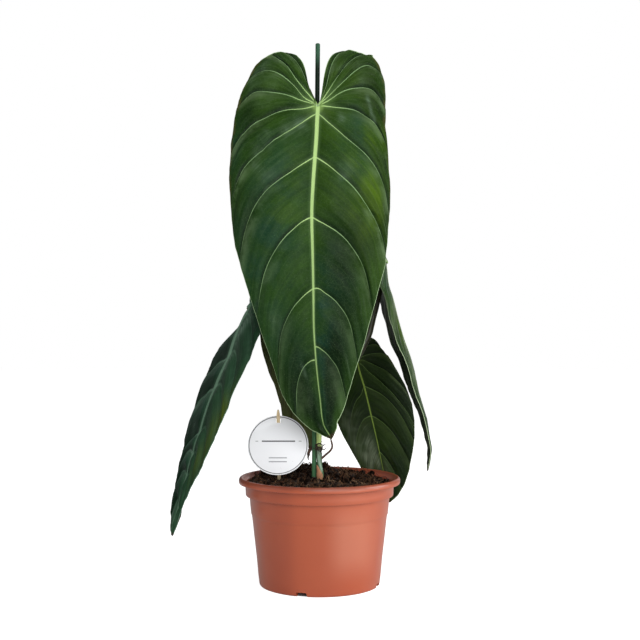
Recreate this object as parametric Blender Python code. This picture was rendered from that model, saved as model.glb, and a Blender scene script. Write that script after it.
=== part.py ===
# Potted climbing philodendron on a green stake, in a terracotta coloured
# plastic nursery pot, with a round white label on a flat bamboo peg.
# Metres, +Z up, the viewer stands at -Y. The origin is on the table, at the
# centre of the pot's underside.

import bpy
import bmesh
import math
import random
import numpy as np
from mathutils import Vector

for old in list(bpy.data.objects):
    bpy.data.objects.remove(old, do_unlink=True)

MM = 0.001
GAP = 0.3 * MM


# ------------------------------------------------------------------ helpers

def material(name, rgb, rough):
    mat = bpy.data.materials.new(name)
    mat.use_nodes = True
    bsdf = mat.node_tree.nodes["Principled BSDF"]
    bsdf.inputs["Base Color"].default_value = (rgb[0], rgb[1], rgb[2], 1.0)
    bsdf.inputs["Roughness"].default_value = rough
    mat.diffuse_color = (rgb[0], rgb[1], rgb[2], 1.0)
    return mat


def mesh_object(name, verts, faces, mat, merge=1e-6):
    mesh = bpy.data.meshes.new(name)
    mesh.from_pydata([tuple(map(float, v)) for v in verts], [], faces)
    bm = bmesh.new()
    bm.from_mesh(mesh)
    bmesh.ops.remove_doubles(bm, verts=bm.verts, dist=merge)
    bmesh.ops.dissolve_degenerate(bm, edges=bm.edges, dist=merge)
    bmesh.ops.recalc_face_normals(bm, faces=bm.faces)
    if bm.calc_volume(signed=True) < 0:
        bmesh.ops.reverse_faces(bm, faces=bm.faces)
    bm.to_mesh(mesh)
    bm.free()
    mesh.materials.append(mat)
    ob = bpy.data.objects.new(name, mesh)
    bpy.context.scene.collection.objects.link(ob)
    return ob


def track(keys, t):
    """Smooth curve through keys (parameter, x, y, ...), read at the values t."""
    keys = np.asarray(keys, float)
    ts = keys[:, 0]
    ps = keys[:, 1:]
    slope = np.empty_like(ps)
    slope[1:-1] = (ps[2:] - ps[:-2]) / (ts[2:] - ts[:-2])[:, None]
    slope[0] = (ps[1] - ps[0]) / (ts[1] - ts[0])
    slope[-1] = (ps[-1] - ps[-2]) / (ts[-1] - ts[-2])
    t = np.clip(np.atleast_1d(np.asarray(t, float)), ts[0], ts[-1])
    i = np.clip(np.searchsorted(ts, t) - 1, 0, len(ts) - 2)
    h = ts[i + 1] - ts[i]
    s = ((t - ts[i]) / h)[:, None]
    h = h[:, None]
    return ((2 * s**3 - 3 * s**2 + 1) * ps[i] + (s**3 - 2 * s**2 + s) * h * slope[i]
            + (3 * s**2 - 2 * s**3) * ps[i + 1] + (s**3 - s**2) * h * slope[i + 1])


def along(points, count):
    """Points spaced evenly along a smooth curve through the given points."""
    pts = np.asarray(points, float)
    t = np.concatenate([[0.0], np.cumsum(np.linalg.norm(np.diff(pts, axis=0), axis=1))])
    fine = track(np.column_stack([t, pts]), np.linspace(0, t[-1], 600))
    run = np.concatenate([[0.0], np.cumsum(np.linalg.norm(np.diff(fine, axis=0), axis=1))])
    want = np.linspace(0, run[-1], count)
    return np.column_stack([np.interp(want, run, fine[:, k]) for k in range(pts.shape[1])])


def tube(name, points, radii, sides, rings, mat, flat=1.0):
    """Closed round rod along a smooth curve, with domed ends."""
    keys = np.column_stack([np.asarray(points, float), np.asarray(radii, float)])
    line = along(keys, rings)
    path = line[:, :3]
    rad = line[:, 3]
    tang = np.gradient(path, axis=0)
    tang /= np.linalg.norm(tang, axis=1)[:, None]
    centres = [path[0] - tang[0] * rad[0] * 0.62, path[0] - tang[0] * rad[0] * 0.36]
    sizes = [rad[0] * 0.3, rad[0] * 0.8]
    dirs = [tang[0], tang[0]]
    for k in range(rings):
        centres.append(path[k])
        sizes.append(rad[k])
        dirs.append(tang[k])
    centres += [path[-1] + tang[-1] * rad[-1] * 0.36, path[-1] + tang[-1] * rad[-1] * 0.62]
    sizes += [rad[-1] * 0.8, rad[-1] * 0.3]
    dirs += [tang[-1], tang[-1]]
    ref = np.array([1.0, 0.0, 0.0])
    if abs(dirs[0][0]) > 0.8:
        ref = np.array([0.0, 1.0, 0.0])
    verts = []
    for c, r, d in zip(centres, sizes, dirs):
        u = ref - d * np.dot(ref, d)
        u /= np.linalg.norm(u)
        w = np.cross(d, u)
        ref = u
        for j in range(sides):
            a = 2 * math.pi * j / sides
            verts.append(c + u * r * math.cos(a) + w * r * flat * math.sin(a))
    n = len(centres)
    faces = []
    for k in range(n - 1):
        for j in range(sides):
            q = (j + 1) % sides
            faces.append((k * sides + j, k * sides + q, (k + 1) * sides + q, (k + 1) * sides + j))
    faces.append(tuple(reversed(range(sides))))
    faces.append(tuple((n - 1) * sides + j for j in range(sides)))
    return mesh_object(name, verts, faces, mat)


def revolve(name, profile, steps, mat):
    """Body of revolution about Z from a closed (r, z) outline in millimetres."""
    verts = []
    faces = []
    m = len(profile)
    for k in range(steps):
        a = 2 * math.pi * k / steps
        for r, z in profile:
            verts.append((r * MM * math.cos(a), r * MM * math.sin(a), z * MM))
    for k in range(steps):
        q = (k + 1) % steps
        for i in range(m - 1):
            faces.append((k * m + i, q * m + i, q * m + i + 1, k * m + i + 1))
    return mesh_object(name, verts, faces, mat)


def cut(target, tool):
    tool.hide_render = True
    tool.display_type = "WIRE"
    mod = target.modifiers.new("cut_" + tool.name, "BOOLEAN")
    mod.operation = "DIFFERENCE"
    mod.solver = "EXACT"
    mod.object = tool


def cylinder(name, p0, p1, radius, sides):
    """Plain open hole cutter between two points, with flat ends."""
    p0 = np.asarray(p0, float)
    p1 = np.asarray(p1, float)
    d = (p1 - p0) / np.linalg.norm(p1 - p0)
    u = np.cross(d, [0.0, 1.0, 0.0])
    u /= np.linalg.norm(u)
    w = np.cross(d, u)
    verts = []
    for c in (p0, p1):
        for j in range(sides):
            a = 2 * math.pi * j / sides
            verts.append(c + (u * math.cos(a) + w * math.sin(a)) * radius)
    faces = [(j, (j + 1) % sides, sides + (j + 1) % sides, sides + j) for j in range(sides)]
    faces.append(tuple(reversed(range(sides))))
    faces.append(tuple(sides + j for j in range(sides)))
    return mesh_object(name, verts, faces, cutter_mat)


cutter_mat = material("cutter", (0.5, 0.5, 0.5), 0.5)
pot_mat = material("pot_plastic", (0.46, 0.15, 0.08), 0.4)
soil_mat = material("peat_soil", (0.03, 0.022, 0.016), 0.95)
stake_mat = material("stake_green", (0.03, 0.16, 0.05), 0.35)
label_mat = material("label_white", (0.8, 0.81, 0.82), 0.5)
peg_mat = material("bamboo", (0.55, 0.45, 0.27), 0.6)
stem_mat = material("stem_green", (0.25, 0.35, 0.14), 0.45)
sheath_mat = material("dry_sheath", (0.38, 0.24, 0.13), 0.75)
root_mat = material("root_brown", (0.16, 0.09, 0.05), 0.8)
petiole_mat = material("petiole_green", (0.08, 0.12, 0.04), 0.5)
petiole_dark_mat = material("petiole_brown", (0.05, 0.035, 0.02), 0.5)
leaf_mat = material("leaf_green", (0.03, 0.07, 0.02), 0.4)


# ---------------------------------------------------------------------- pot

POT_WALL = 1.5

outer = [(0.0, 0.0), (40.0, 0.0), (42.0, 2.6), (63.0, 2.6), (64.2, 0.5), (65.0, 0.0), (69.2, 0.0),
         (70.4, 1.0), (71.0, 3.4), (71.9, 9.8), (74.2, 33.5), (76.9, 57.1), (79.6, 80.7),
         (80.6, 84.0), (82.6, 104.6), (86.4, 105.2), (87.0, 106.0), (87.6, 119.2), (93.8, 119.2),
         (95.0, 120.3), (95.0, 123.2), (94.2, 125.4), (92.6, 126.4), (91.0, 126.2), (89.6, 124.8)]
inner = [(87.0, 121.6), (86.0, 119.0), (85.5, 106.4), (81.1, 104.8), (79.1, 84.0), (78.0, 80.0),
         (75.3, 56.6), (72.6, 33.5), (70.2, 9.8), (69.4, 5.4), (67.6, 4.4), (41.0, 4.4),
         (39.0, 1.8), (0.0, 1.8)]
pot = revolve("pot", outer + inner, 56, pot_mat)

# four drainage notches through the foot ring
for number, turn in enumerate((-16.3, 73.7, 163.7, 253.7)):
    angle = math.radians(-90.0 + turn)
    c = np.array([math.cos(angle), math.sin(angle), 0.0])
    s = np.array([-math.sin(angle), math.cos(angle), 0.0])
    lean = 1.6 * MM
    half = 6.6 * MM
    corners = []
    for r in (60.0 * MM, 80.0 * MM):
        corners.append(c * r - s * half + np.array([0, 0, -2 * MM]))
        corners.append(c * r + s * (half + lean) + np.array([0, 0, -2 * MM]))
        corners.append(c * r + s * (half - lean) + np.array([0, 0, 2.9 * MM]))
        corners.append(c * r - s * half + np.array([0, 0, 2.9 * MM]))
    tool = mesh_object("notch_%d" % number, corners,
                       [(0, 1, 2, 3), (7, 6, 5, 4), (0, 4, 5, 1), (1, 5, 6, 2), (2, 6, 7, 3), (3, 7, 4, 0)],
                       cutter_mat)
    cut(pot, tool)


# -------------------------------------------------------------------- stake

def stake_at(z):
    t = (z - 0.1217) / (0.6387 - 0.1217)
    return np.array([-0.0065 + 0.0045 * t, 0.0020, z])


stake = tube("stake", [stake_at(0.014), stake_at(0.33), stake_at(0.6370)],
             [2.75 * MM] * 3, 14, 3, stake_mat)

# --------------------------------------------------------------------- stem

STEM = [(-0.0001, -0.0025, 0.085), (-0.0002, -0.0025, 0.127), (-0.0007, -0.0025, 0.1385),
        (-0.0007, -0.0025, 0.156), (-0.0004, -0.0025, 0.185), (0.0000, -0.0026, 0.245),
        (0.0003, -0.0027, 0.310), (0.0006, -0.0028, 0.372)]


def stem_at(z):
    pts = np.asarray(STEM)
    return np.array([np.interp(z, pts[:, 2], pts[:, 0]), np.interp(z, pts[:, 2], pts[:, 1]), z])


base = tube("stem_base", [stem_at(0.087), stem_at(0.11), stem_at(0.1255), stem_at(0.1360)],
            [3.0 * MM, 3.3 * MM, 3.7 * MM, 3.2 * MM], 12, 5, sheath_mat)
heights = [0.1407, 0.150, 0.1575, 0.1607, 0.1645, 0.184, 0.190, 0.212, 0.218, 0.242, 0.248, 0.287,
           0.293, 0.345, 0.362, 0.371]
sizes = [2.6, 2.7, 3.0, 3.7, 3.3, 3.5, 3.8, 3.4, 3.7, 3.3, 3.6, 3.2, 3.5, 3.0, 2.9, 1.4]
stem = tube("stem", [stem_at(z) for z in heights], [s * MM * 0.96 for s in sizes], 12, 34, stem_mat)

root_bud = tube("root_bud", [(-0.0046, 0.0075, 0.1618), (-0.0090, 0.0060, 0.1590),
                             (-0.0128, 0.0024, 0.1550), (-0.0133, 0.0005, 0.1490)],
                [1.5 * MM, 1.7 * MM, 1.9 * MM, 0.9 * MM], 8, 7, root_mat)
aerial_root = tube("aerial_root", [(0.0030, -0.0034, 0.1472), (0.0072, -0.0042, 0.1520),
                                   (0.0112, -0.0045, 0.1579), (0.0147, -0.0043, 0.1630),
                                   (0.0142, -0.0036, 0.1680), (0.0128, -0.0030, 0.1719)],
                   [1.2 * MM, 1.1 * MM, 1.1 * MM, 1.0 * MM, 0.8 * MM, 0.4 * MM], 8, 12, root_mat)


# ------------------------------------------------------- round label on a peg

def ring_points(cx, cz, r, n, phase=0.0):
    return [(cx + r * math.cos(phase + 2 * math.pi * k / n),
             cz + r * math.sin(phase + 2 * math.pi * k / n)) for k in range(n)]


DISC = {"r": 35.8, "t": 1.0, "tilt": 12.0, "slot_up": 28.4, "slot_w": 5.7, "slot_h": 7.4}
DISC_CENTRE = np.array([-0.0488, -0.0052, 0.1620])


def disc_plane():
    a = math.radians(DISC["tilt"])
    right = np.array([1.0, 0.0, 0.0])
    up = np.array([0.0, math.sin(a), math.cos(a)])
    face = np.array([0.0, -math.cos(a), math.sin(a)])
    return right, up, face


def make_disc():
    right, up, face = disc_plane()
    rim = ring_points(0.0, 0.0, DISC["r"], 48)
    w = DISC["slot_w"] / 2
    h = DISC["slot_h"] / 2
    y0 = DISC["slot_up"]
    hole = [(w, y0), (w, y0 + h), (0, y0 + h), (-w, y0 + h), (-w, y0), (-w, y0 - h), (0, y0 - h), (w, y0 - h)]
    verts = []
    for side in (0.5, -0.5):
        for x, z in rim + hole:
            verts.append(DISC_CENTRE + (right * x + up * z + face * side * DISC["t"]) * MM)
    n = len(rim)
    m = len(hole)
    bm = bmesh.new()
    vs = [bm.verts.new(Vector(tuple(map(float, v)))) for v in verts]
    off = n + m
    for base_i, flip in ((0, False), (off, True)):
        edges = []
        for k in range(n):
            edges.append(bm.edges.new((vs[base_i + k], vs[base_i + (k + 1) % n])))
        for k in range(m):
            edges.append(bm.edges.new((vs[base_i + n + k], vs[base_i + n + (k + 1) % m])))
        bmesh.ops.triangle_fill(bm, use_beauty=True, use_dissolve=False, edges=edges)
    for k in range(n):
        q = (k + 1) % n
        bm.faces.new((vs[k], vs[q], vs[off + q], vs[off + k]))
    for k in range(m):
        q = (k + 1) % m
        bm.faces.new((vs[n + k], vs[n + q], vs[off + n + q], vs[off + n + k]))
    bmesh.ops.recalc_face_normals(bm, faces=bm.faces)
    mesh = bpy.data.meshes.new("label_disc")
    bm.to_mesh(mesh)
    bm.free()
    mesh.materials.append(label_mat)
    ob = bpy.data.objects.new("label_disc", mesh)
    bpy.context.scene.collection.objects.link(ob)
    return ob


disc = make_disc()
right, up, face = disc_plane()
slot_centre = DISC_CENTRE + up * DISC["slot_up"] * MM
PEG_LEAN = math.radians(12.0)
peg_up = np.array([-0.012, -math.sin(PEG_LEAN), math.cos(PEG_LEAN)])
PEG_TOP = slot_centre + peg_up * 0.0145
PEG_FOOT = slot_centre - peg_up * 0.1250


def box_between(name, p0, p1, width, thick, mat, point=0.0):
    d = (p1 - p0) / np.linalg.norm(p1 - p0)
    u = np.array([1.0, 0.0, 0.0])
    u = u - d * np.dot(u, d)
    u /= np.linalg.norm(u)
    w = np.cross(d, u)
    stations = [(p0, 0.35 if point else 1.0), (p0 + d * point, 1.0), (p1, 1.0)]
    if not point:
        stations = [(p0, 1.0), (p1, 1.0)]
    verts = []
    for c, k in stations:
        for a, b in ((-1, -1), (1, -1), (1, 1), (-1, 1)):
            verts.append(c + u * a * width * k / 2 + w * b * thick / 2)
    faces = [(0, 3, 2, 1)]
    for s in range(len(stations) - 1):
        o = 4 * s
        faces += [(o, o + 1, o + 5, o + 4), (o + 1, o + 2, o + 6, o + 5), (o + 2, o + 3, o + 7, o + 6),
                  (o + 3, o, o + 4, o + 7)]
    o = 4 * (len(stations) - 1)
    faces.append((o, o + 1, o + 2, o + 3))
    return mesh_object(name, verts, faces, mat)


peg = box_between("label_peg", PEG_FOOT, PEG_TOP, 4.8 * MM, 1.2 * MM, peg_mat, 7 * MM)


# --------------------------------------------------------------------- soil

def soil_height(x, y):
    """Top of the peat, in metres, with its mound behind the stem."""
    r = math.hypot(x, y)
    h = 0.1192
    h += 0.0030 * math.exp(-((x + 0.004) ** 2 + (y + 0.004) ** 2) / 0.030 ** 2)
    h += 0.0120 * math.exp(-((x + 0.006) / 0.040) ** 2 - ((y - 0.052) / 0.026) ** 2)
    h += 0.0060 * math.exp(-((x + 0.060) / 0.024) ** 2 - ((y - 0.034) / 0.026) ** 2)
    h -= 0.0030 * math.exp(-((x - 0.050) / 0.030) ** 2 - ((y + 0.010) / 0.030) ** 2)
    h += 0.0011 * math.sin(x * 310 + 1.3) * math.sin(y * 270 + 0.4)
    h += 0.0008 * math.sin(x * 560 + y * 330 + 2.0) + 0.0006 * math.sin(y * 640 - x * 410)
    edge = max(0.0, (r - 0.070) / 0.016)
    return h - 0.0016 * min(edge, 1.0) ** 2


def make_soil():
    rnd = random.Random(41)
    steps = 44
    top_rings = [0.0, 0.006, 0.013, 0.020, 0.027, 0.034, 0.041, 0.048, 0.055, 0.062, 0.069, 0.0755, 0.0810, 0.0849]
    side = [(0.0849, 0.1076), (0.0804, 0.1056), (0.0786, 0.0840), (0.0775, 0.0801), (0.07485, 0.0567),
            (0.07215, 0.0336), (0.0697, 0.0099), (0.0688, 0.0060), (0.0670, 0.0049), (0.0404, 0.0049),
            (0.0384, 0.0023), (0.0, 0.0023)]
    verts = [(0.0, 0.0, soil_height(0, 0))]
    for k, r in enumerate(top_rings[1:]):
        for j in range(steps):
            a = 2 * math.pi * (j + 0.5 * (k % 2)) / steps
            x = r * math.cos(a)
            y = r * math.sin(a)
            z = soil_height(x, y)
            if k < len(top_rings) - 2:
                z += rnd.uniform(-1, 1) * 0.9 * MM
            verts.append((x, y, z))
    phase = 0.5 * ((len(top_rings) - 2) % 2)
    for r, z in side[:-1]:
        for j in range(steps):
            a = 2 * math.pi * (j + phase) / steps
            verts.append((r * math.cos(a), r * math.sin(a), z))
    verts.append((0.0, 0.0, side[-1][1]))
    faces = []
    for j in range(steps):
        faces.append((0, 1 + j, 1 + (j + 1) % steps))
    rings = len(top_rings) - 1 + len(side) - 1
    for k in range(rings - 1):
        o = 1 + k * steps
        p = 1 + (k + 1) * steps
        for j in range(steps):
            q = (j + 1) % steps
            if k < len(top_rings) - 2 and k % 2 == 0:
                faces += [(o + j, p + j, o + q), (o + q, p + j, p + q)]
            elif k < len(top_rings) - 2:
                faces += [(o + j, p + j, p + q), (o + j, p + q, o + q)]
            else:
                faces.append((o + j, p + j, p + q, o + q))
    o = 1 + (rings - 1) * steps
    last = len(verts) - 1
    for j in range(steps):
        faces.append((o + j, last, o + (j + 1) % steps))
    return mesh_object("soil", verts, faces, soil_mat)


soil = make_soil()

# plain holes for what stands in the soil
cut(soil, cylinder("hole_stake", stake_at(0.0116), stake_at(0.16), (2.75 + 0.34) * MM, 14))
cut(soil, cylinder("hole_stem", stem_at(0.0840), stem_at(0.16), (3.7 + 0.42) * MM, 14))
d = (PEG_TOP - PEG_FOOT) / np.linalg.norm(PEG_TOP - PEG_FOOT)
cut(soil, box_between("hole_peg", PEG_FOOT - d * GAP, PEG_FOOT + d * 0.09, (4.8 + 0.6) * MM, (1.2 + 0.6) * MM,
                      cutter_mat))


# ------------------------------------------------------------------- leaves

# One half of the leaf pattern, from the sinus round the lobe to the tip. Each
# row is one line that follows the side veins: start on the midrib (fraction of
# the length), margin point (fractions of half width and length), and the pull
# point of the curve.
LINES = [
    (0.000, 0.300, -0.166, 0.040, -0.135),
    (0.000, 0.550, -0.168, 0.220, -0.125),
    (0.000, 0.780, -0.138, 0.450, -0.175),
    (0.000, 0.900, -0.082, 0.590, -0.165),
    (0.000, 0.965, -0.012, 0.600, -0.108),
    (0.000, 0.990, 0.050, 0.640, -0.080),
    (0.000, 1.000, 0.165, 0.670, -0.060),
    (0.012, 0.985, 0.230, 0.740, 0.030),
    (0.024, 0.980, 0.290, 0.820, 0.120),
    (0.085, 0.930, 0.395, 0.810, 0.190),
    (0.154, 0.860, 0.500, 0.750, 0.245),
    (0.245, 0.740, 0.595, 0.640, 0.325),
    (0.334, 0.620, 0.685, 0.540, 0.395),
    (0.440, 0.520, 0.768, 0.450, 0.490),
    (0.548, 0.430, 0.843, 0.370, 0.590),
    (0.650, 0.350, 0.895, 0.300, 0.685),
    (0.744, 0.270, 0.934, 0.230, 0.770),
    (0.850, 0.170, 0.968, 0.140, 0.868),
    (0.935, 0.080, 0.988, 0.060, 0.946),
    (1.000, 0.000, 1.000, 0.000, 1.000),
]
WIDTHS = [(-0.2, 0.98), (0.0, 0.98), (0.07, 1.0), (0.19, 1.0), (0.25, 0.98), (0.31, 0.96), (0.37, 0.94),
          (0.43, 0.91), (0.49, 0.86), (0.55, 0.79), (0.61, 0.72), (0.67, 0.64), (0.73, 0.57), (0.79, 0.49),
          (0.85, 0.42), (0.91, 0.32), (0.96, 0.20), (0.98, 0.11), (1.0, 0.0)]


def leaf_half(widths, lobe, sinus, spread, nu, nr):
    """Flat pattern of one half: arrays a, b (fractions) over (line, step)."""
    keys = np.asarray(LINES)
    u = np.linspace(0, len(keys) - 1, nu + 1)
    rows = track(np.column_stack([np.arange(len(keys)), keys]), u)
    b0, ma, mb, ca, cb = rows.T
    tab = np.asarray(widths)
    prof = np.interp(np.clip(mb, 0, 1), tab[:, 0], tab[:, 1])
    body = mb > 0
    scale = np.interp(0.0, tab[:, 0], tab[:, 1]) / 0.98
    new_ma = np.where(body, prof, ma * scale)
    ratio = np.where(np.abs(ma) > 1e-6, new_ma / np.where(np.abs(ma) > 1e-6, ma, 1), 0)
    ca = ca * np.where(np.abs(ma) > 1e-6, ratio, 0)
    new_ma[-1] = 0.0
    # how far the shoulder of the lobe stands out
    shoulder = 1 + (spread - 1) * np.interp(u, [0, 1, 3, 5], [0, 1, 1, 0])
    new_ma = new_ma * shoulder
    ca = ca * shoulder
    mb = np.where(mb < 0, mb * lobe, mb)
    cb = np.where(cb < 0, cb * lobe, cb)
    r = np.linspace(0, 1, nr + 1) ** 0.93
    r = r[None, :]
    c1a = (2 * ca / 3)[:, None] + 0 * r
    c1b = (b0 + 2 * (cb - b0) / 3)[:, None] + 0 * r
    c2a = (new_ma + 2 * (ca - new_ma) / 3)[:, None] + 0 * r
    c2b = (mb + 2 * (cb - mb) / 3)[:, None] + 0 * r
    # the inner edge of the lobe follows a rounded sinus
    fade = np.clip(1 - u / 1.0, 0, 1)[:, None]
    c1a = c1a * (1 - fade) + 0.12 * sinus * fade
    c1b = c1b * (1 - fade) - 0.010 * lobe * fade
    c2a = c2a * (1 - fade) + 0.02 * sinus * fade
    c2b = c2b * (1 - fade) - 0.160 * lobe * fade
    q = 1 - r
    a = 3 * q * q * r * c1a + 3 * q * r * r * c2a + r**3 * new_ma[:, None]
    b = q**3 * b0[:, None] + 3 * q * q * r * c1b + 3 * q * r * r * c2b + r**3 * mb[:, None]
    return a, b, u, r


def leaf_space(spec):
    """Spine, frame and bend of a leaf, as functions of the distance b."""
    lobe_pts = np.asarray(spec["lobe"], float) * MM
    spine = np.asarray(spec["spine"], float) * MM
    whole = np.vstack([lobe_pts[::-1], spine])
    t = np.concatenate([[0.0], np.cumsum(np.linalg.norm(np.diff(whole, axis=0), axis=1))])
    fine_t = np.linspace(0, t[-1], 900)
    fine = track(np.column_stack([t, whole]), fine_t)
    run = np.concatenate([[0.0], np.cumsum(np.linalg.norm(np.diff(fine, axis=0), axis=1))])
    zero = np.interp(t[len(lobe_pts)], fine_t, run)
    run = run - zero
    length = run[-1]
    return fine, run, length


def leaf_map(spec, fine, run, length, side, a, b):
    """Places pattern points (a, b in metres) of one half in space."""
    shape = a.shape
    a = a.ravel()
    b = b.ravel()
    tang = np.gradient(fine, run, axis=0)
    pos = np.column_stack([np.interp(b, run, fine[:, k]) for k in range(3)])
    over = np.clip(run[0] - b, 0, None)[:, None]
    pos = pos - tang[0] * over
    tan = np.column_stack([np.interp(b, run, tang[:, k]) for k in range(3)])
    tan /= np.linalg.norm(tan, axis=1)[:, None]
    f = b / length
    acr = track(spec["across"], f)
    acr = acr - tan * np.sum(acr * tan, axis=1)[:, None]
    acr /= np.linalg.norm(acr, axis=1)[:, None]
    nor = np.cross(tan, acr)
    bend = track(spec["bend_right" if side > 0 else "bend_left"], f)
    start = np.radians(bend[:, 0])
    curl = np.radians(bend[:, 1])
    width = spec["half"] * MM
    angle = start + curl * (a / width) * 0.5
    out = acr * side * (a * np.cos(angle))[:, None] - nor * (a * np.sin(angle))[:, None]
    wave = spec["wave"]
    ripple = wave[0] * MM * np.sin(2 * math.pi * (f * wave[1] + wave[2] * (1 if side > 0 else 1.37)))
    ripple = ripple * np.clip(a / width, 0, 1) ** 2.4 * np.clip((1.02 - f) * 4, 0, 1)
    pos = pos + out + nor * ripple[:, None]
    return pos.reshape(shape + (3,))


def make_blade(name, spec, nu=24, nr=7):
    fine, run, length = leaf_space(spec)
    grids = []
    for side, key in ((1, "widths_right"), (-1, "widths_left")):
        which = 0 if side < 0 else 1
        a, b, u, r = leaf_half(spec.get(key, WIDTHS), spec["lobe_scale"], spec["sinus"][which],
                               spec["spread"][which], nu, nr)
        width = spec["half"] * MM * (spec["right"] if side > 0 else spec["left"])
        top = leaf_map(spec, fine, run, length, side, a * width, b * length)
        # normals of the upper face from its own grid
        du = np.gradient(top, axis=0)
        dr = np.gradient(top, axis=1)
        nor = np.cross(du, dr) * (1 if side < 0 else -1)
        size = np.linalg.norm(nor, axis=2)
        good = size > 1e-10
        nor[good] /= size[good][:, None]
        grids.append((top, nor, good, a * width, b / 1.0))
    # one normal per midrib point, shared by both halves
    verts = []
    faces = []
    shared = []
    for half, (top, nor, good, a, b) in enumerate(grids):
        axis_n = nor[:, 1].copy()
        shared.append(axis_n)
    axis = shared[0] + shared[1]
    axis[-1] = axis[-2]
    axis /= np.linalg.norm(axis, axis=1)[:, None]
    lobe_lines = np.isclose(grids[0][4][:, 0], 0.0, atol=1e-9)
    first = axis[lobe_lines].mean(axis=0)
    axis[lobe_lines] = first / np.linalg.norm(first)
    for half, (top, nor, good, a, b) in enumerate(grids):
        nor[:, 0] = axis
        nor[-1] = axis[-2]
        thick = np.full(a.shape, spec["thick"] * MM)
        rib = 1.5 * MM * np.clip(1 - b, 0, 1) ** 0.6
        thick[:, 0] += rib[:, 0]
        thick[-1] = spec["thick"] * MM
        low = top - nor * thick[:, :, None]
        off = len(verts)
        nu1, nr1 = a.shape
        for layer in (top, low):
            verts.extend(layer.reshape(-1, 3))
        n = nu1 * nr1
        for i in range(nu1 - 1):
            for j in range(nr1 - 1):
                p = off + i * nr1 + j
                quad = (p, p + nr1, p + nr1 + 1, p + 1)
                tris = ((quad[0], quad[1], quad[3]), (quad[1], quad[2], quad[3]))
                for t in tris:
                    faces.append(t if half == 0 else t[::-1])
                    back = tuple(v + n for v in t[::-1])
                    faces.append(back if half == 0 else back[::-1])
        for i in range(nu1 - 1):
            p = off + i * nr1 + nr1 - 1
            faces.append((p, p + nr1, p + nr1 + n, p + n))
        for j in range(nr1 - 1):
            p = off + j
            faces.append((p, p + 1, p + 1 + n, p + n))
    verts = np.asarray(verts)
    ob = mesh_object(name, verts, faces, leaf_mat, 0.00003)
    return ob


FRONT = {
    "spine": [(-1.8, -12.0, 560.8), (-2.7, -19.0, 543.9), (-3.4, -26.0, 525.3), (-5.2, -34.0, 498.7),
              (-7.4, -41.0, 465.6), (-8.8, -46.0, 430.8), (-7.7, -49.0, 385.0), (-6.9, -50.0, 339.4),
              (-6.3, -49.0, 299.6), (-3.5, -47.0, 258.6), (0.8, -45.0, 219.7), (4.6, -44.0, 192.2),
              (14.3, -44.0, 175.0)],
    "lobe": [(-1.8, -9.0, 585.5), (-1.4, -3.0, 610.3), (-1.2, 5.0, 630.0)],
    "across": [(-0.2, 1.0, 0.0, 0.0), (1.0, 1.0, 0.0, 0.0)],
    "bend_right": [(-0.2, -6.0, 16.0), (0.1, -10.0, 34.0), (0.5, -8.0, 30.0), (1.0, 0.0, 8.0)],
    "bend_left": [(-0.2, -6.0, 16.0), (0.1, -10.0, 34.0), (0.5, -8.0, 30.0), (1.0, 0.0, 8.0)],
    "widths_left": [(-0.2, 0.96), (0.0, 0.955), (0.07, 0.975), (0.13, 1.0), (0.19, 1.0), (0.25, 0.985),
                    (0.31, 0.95), (0.37, 0.92), (0.43, 0.89), (0.49, 0.83), (0.55, 0.76), (0.61, 0.69),
                    (0.67, 0.62), (0.73, 0.545), (0.79, 0.49), (0.85, 0.445), (0.91, 0.35), (0.958, 0.20),
                    (0.982, 0.09), (1.0, 0.0)],
    "widths_right": [(-0.2, 0.86), (0.0, 0.86), (0.07, 0.89), (0.13, 0.93), (0.19, 0.96), (0.25, 0.99),
                     (0.31, 1.0), (0.37, 0.975), (0.43, 0.94), (0.49, 0.90), (0.55, 0.82), (0.61, 0.74),
                     (0.67, 0.67), (0.73, 0.60), (0.79, 0.50), (0.85, 0.40), (0.91, 0.29), (0.958, 0.19),
                     (0.982, 0.13), (1.0, 0.0)],
    "half": 96.0, "left": 1.04, "right": 0.945, "lobe_scale": 1.0, "sinus": (1.7, 0.8),
    "spread": (0.91, 1.10), "thick": 0.8,
    "wave": (1.8, 8.0, 0.2),
}
LEFT = {
    "spine": [(-86.3, 30.0, 325.5), (-89.9, 29.0, 319.4), (-97.3, 26.0, 302.6), (-109.5, 18.0, 266.7),
              (-117.5, 14.0, 246.6), (-126.2, 11.0, 227.6), (-135.9, 7.0, 198.2), (-142.8, 5.0, 177.0),
              (-150.3, 3.0, 153.6), (-160.0, 0.0, 117.3), (-168.1, -2.0, 86.9), (-173.1, -4.0, 56.6)],
    "lobe": [(-84.5, 31.0, 338.0), (-83.0, 32.0, 352.0), (-81.0, 33.0, 364.0)],
    "across": [(-0.2, 0.42, -0.907, 0.06), (0.15, 0.42, -0.907, 0.05), (0.5, 0.42, -0.907, 0.0),
               (1.0, 0.42, -0.907, 0.0)],
    "bend_right": [(-0.2, 10.0, 20.0), (0.0, 6.0, 10.0), (0.15, 0.0, 4.0), (0.5, -2.0, 5.0), (1.0, 0.0, 4.0)],
    "bend_left": [(-0.2, 40.0, 10.0), (0.0, 32.0, 8.0), (0.08, 18.0, 5.0), (0.16, 6.0, 4.0), (0.5, 4.0, 4.0),
                  (1.0, 0.0, 3.0)],
    "half": 71.0, "left": 1.0, "right": 1.0, "lobe_scale": 0.75, "sinus": (1.2, 1.2),
    "spread": (0.95, 0.95), "thick": 0.8,
    "wave": (1.6, 7.0, 0.5),
}
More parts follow.
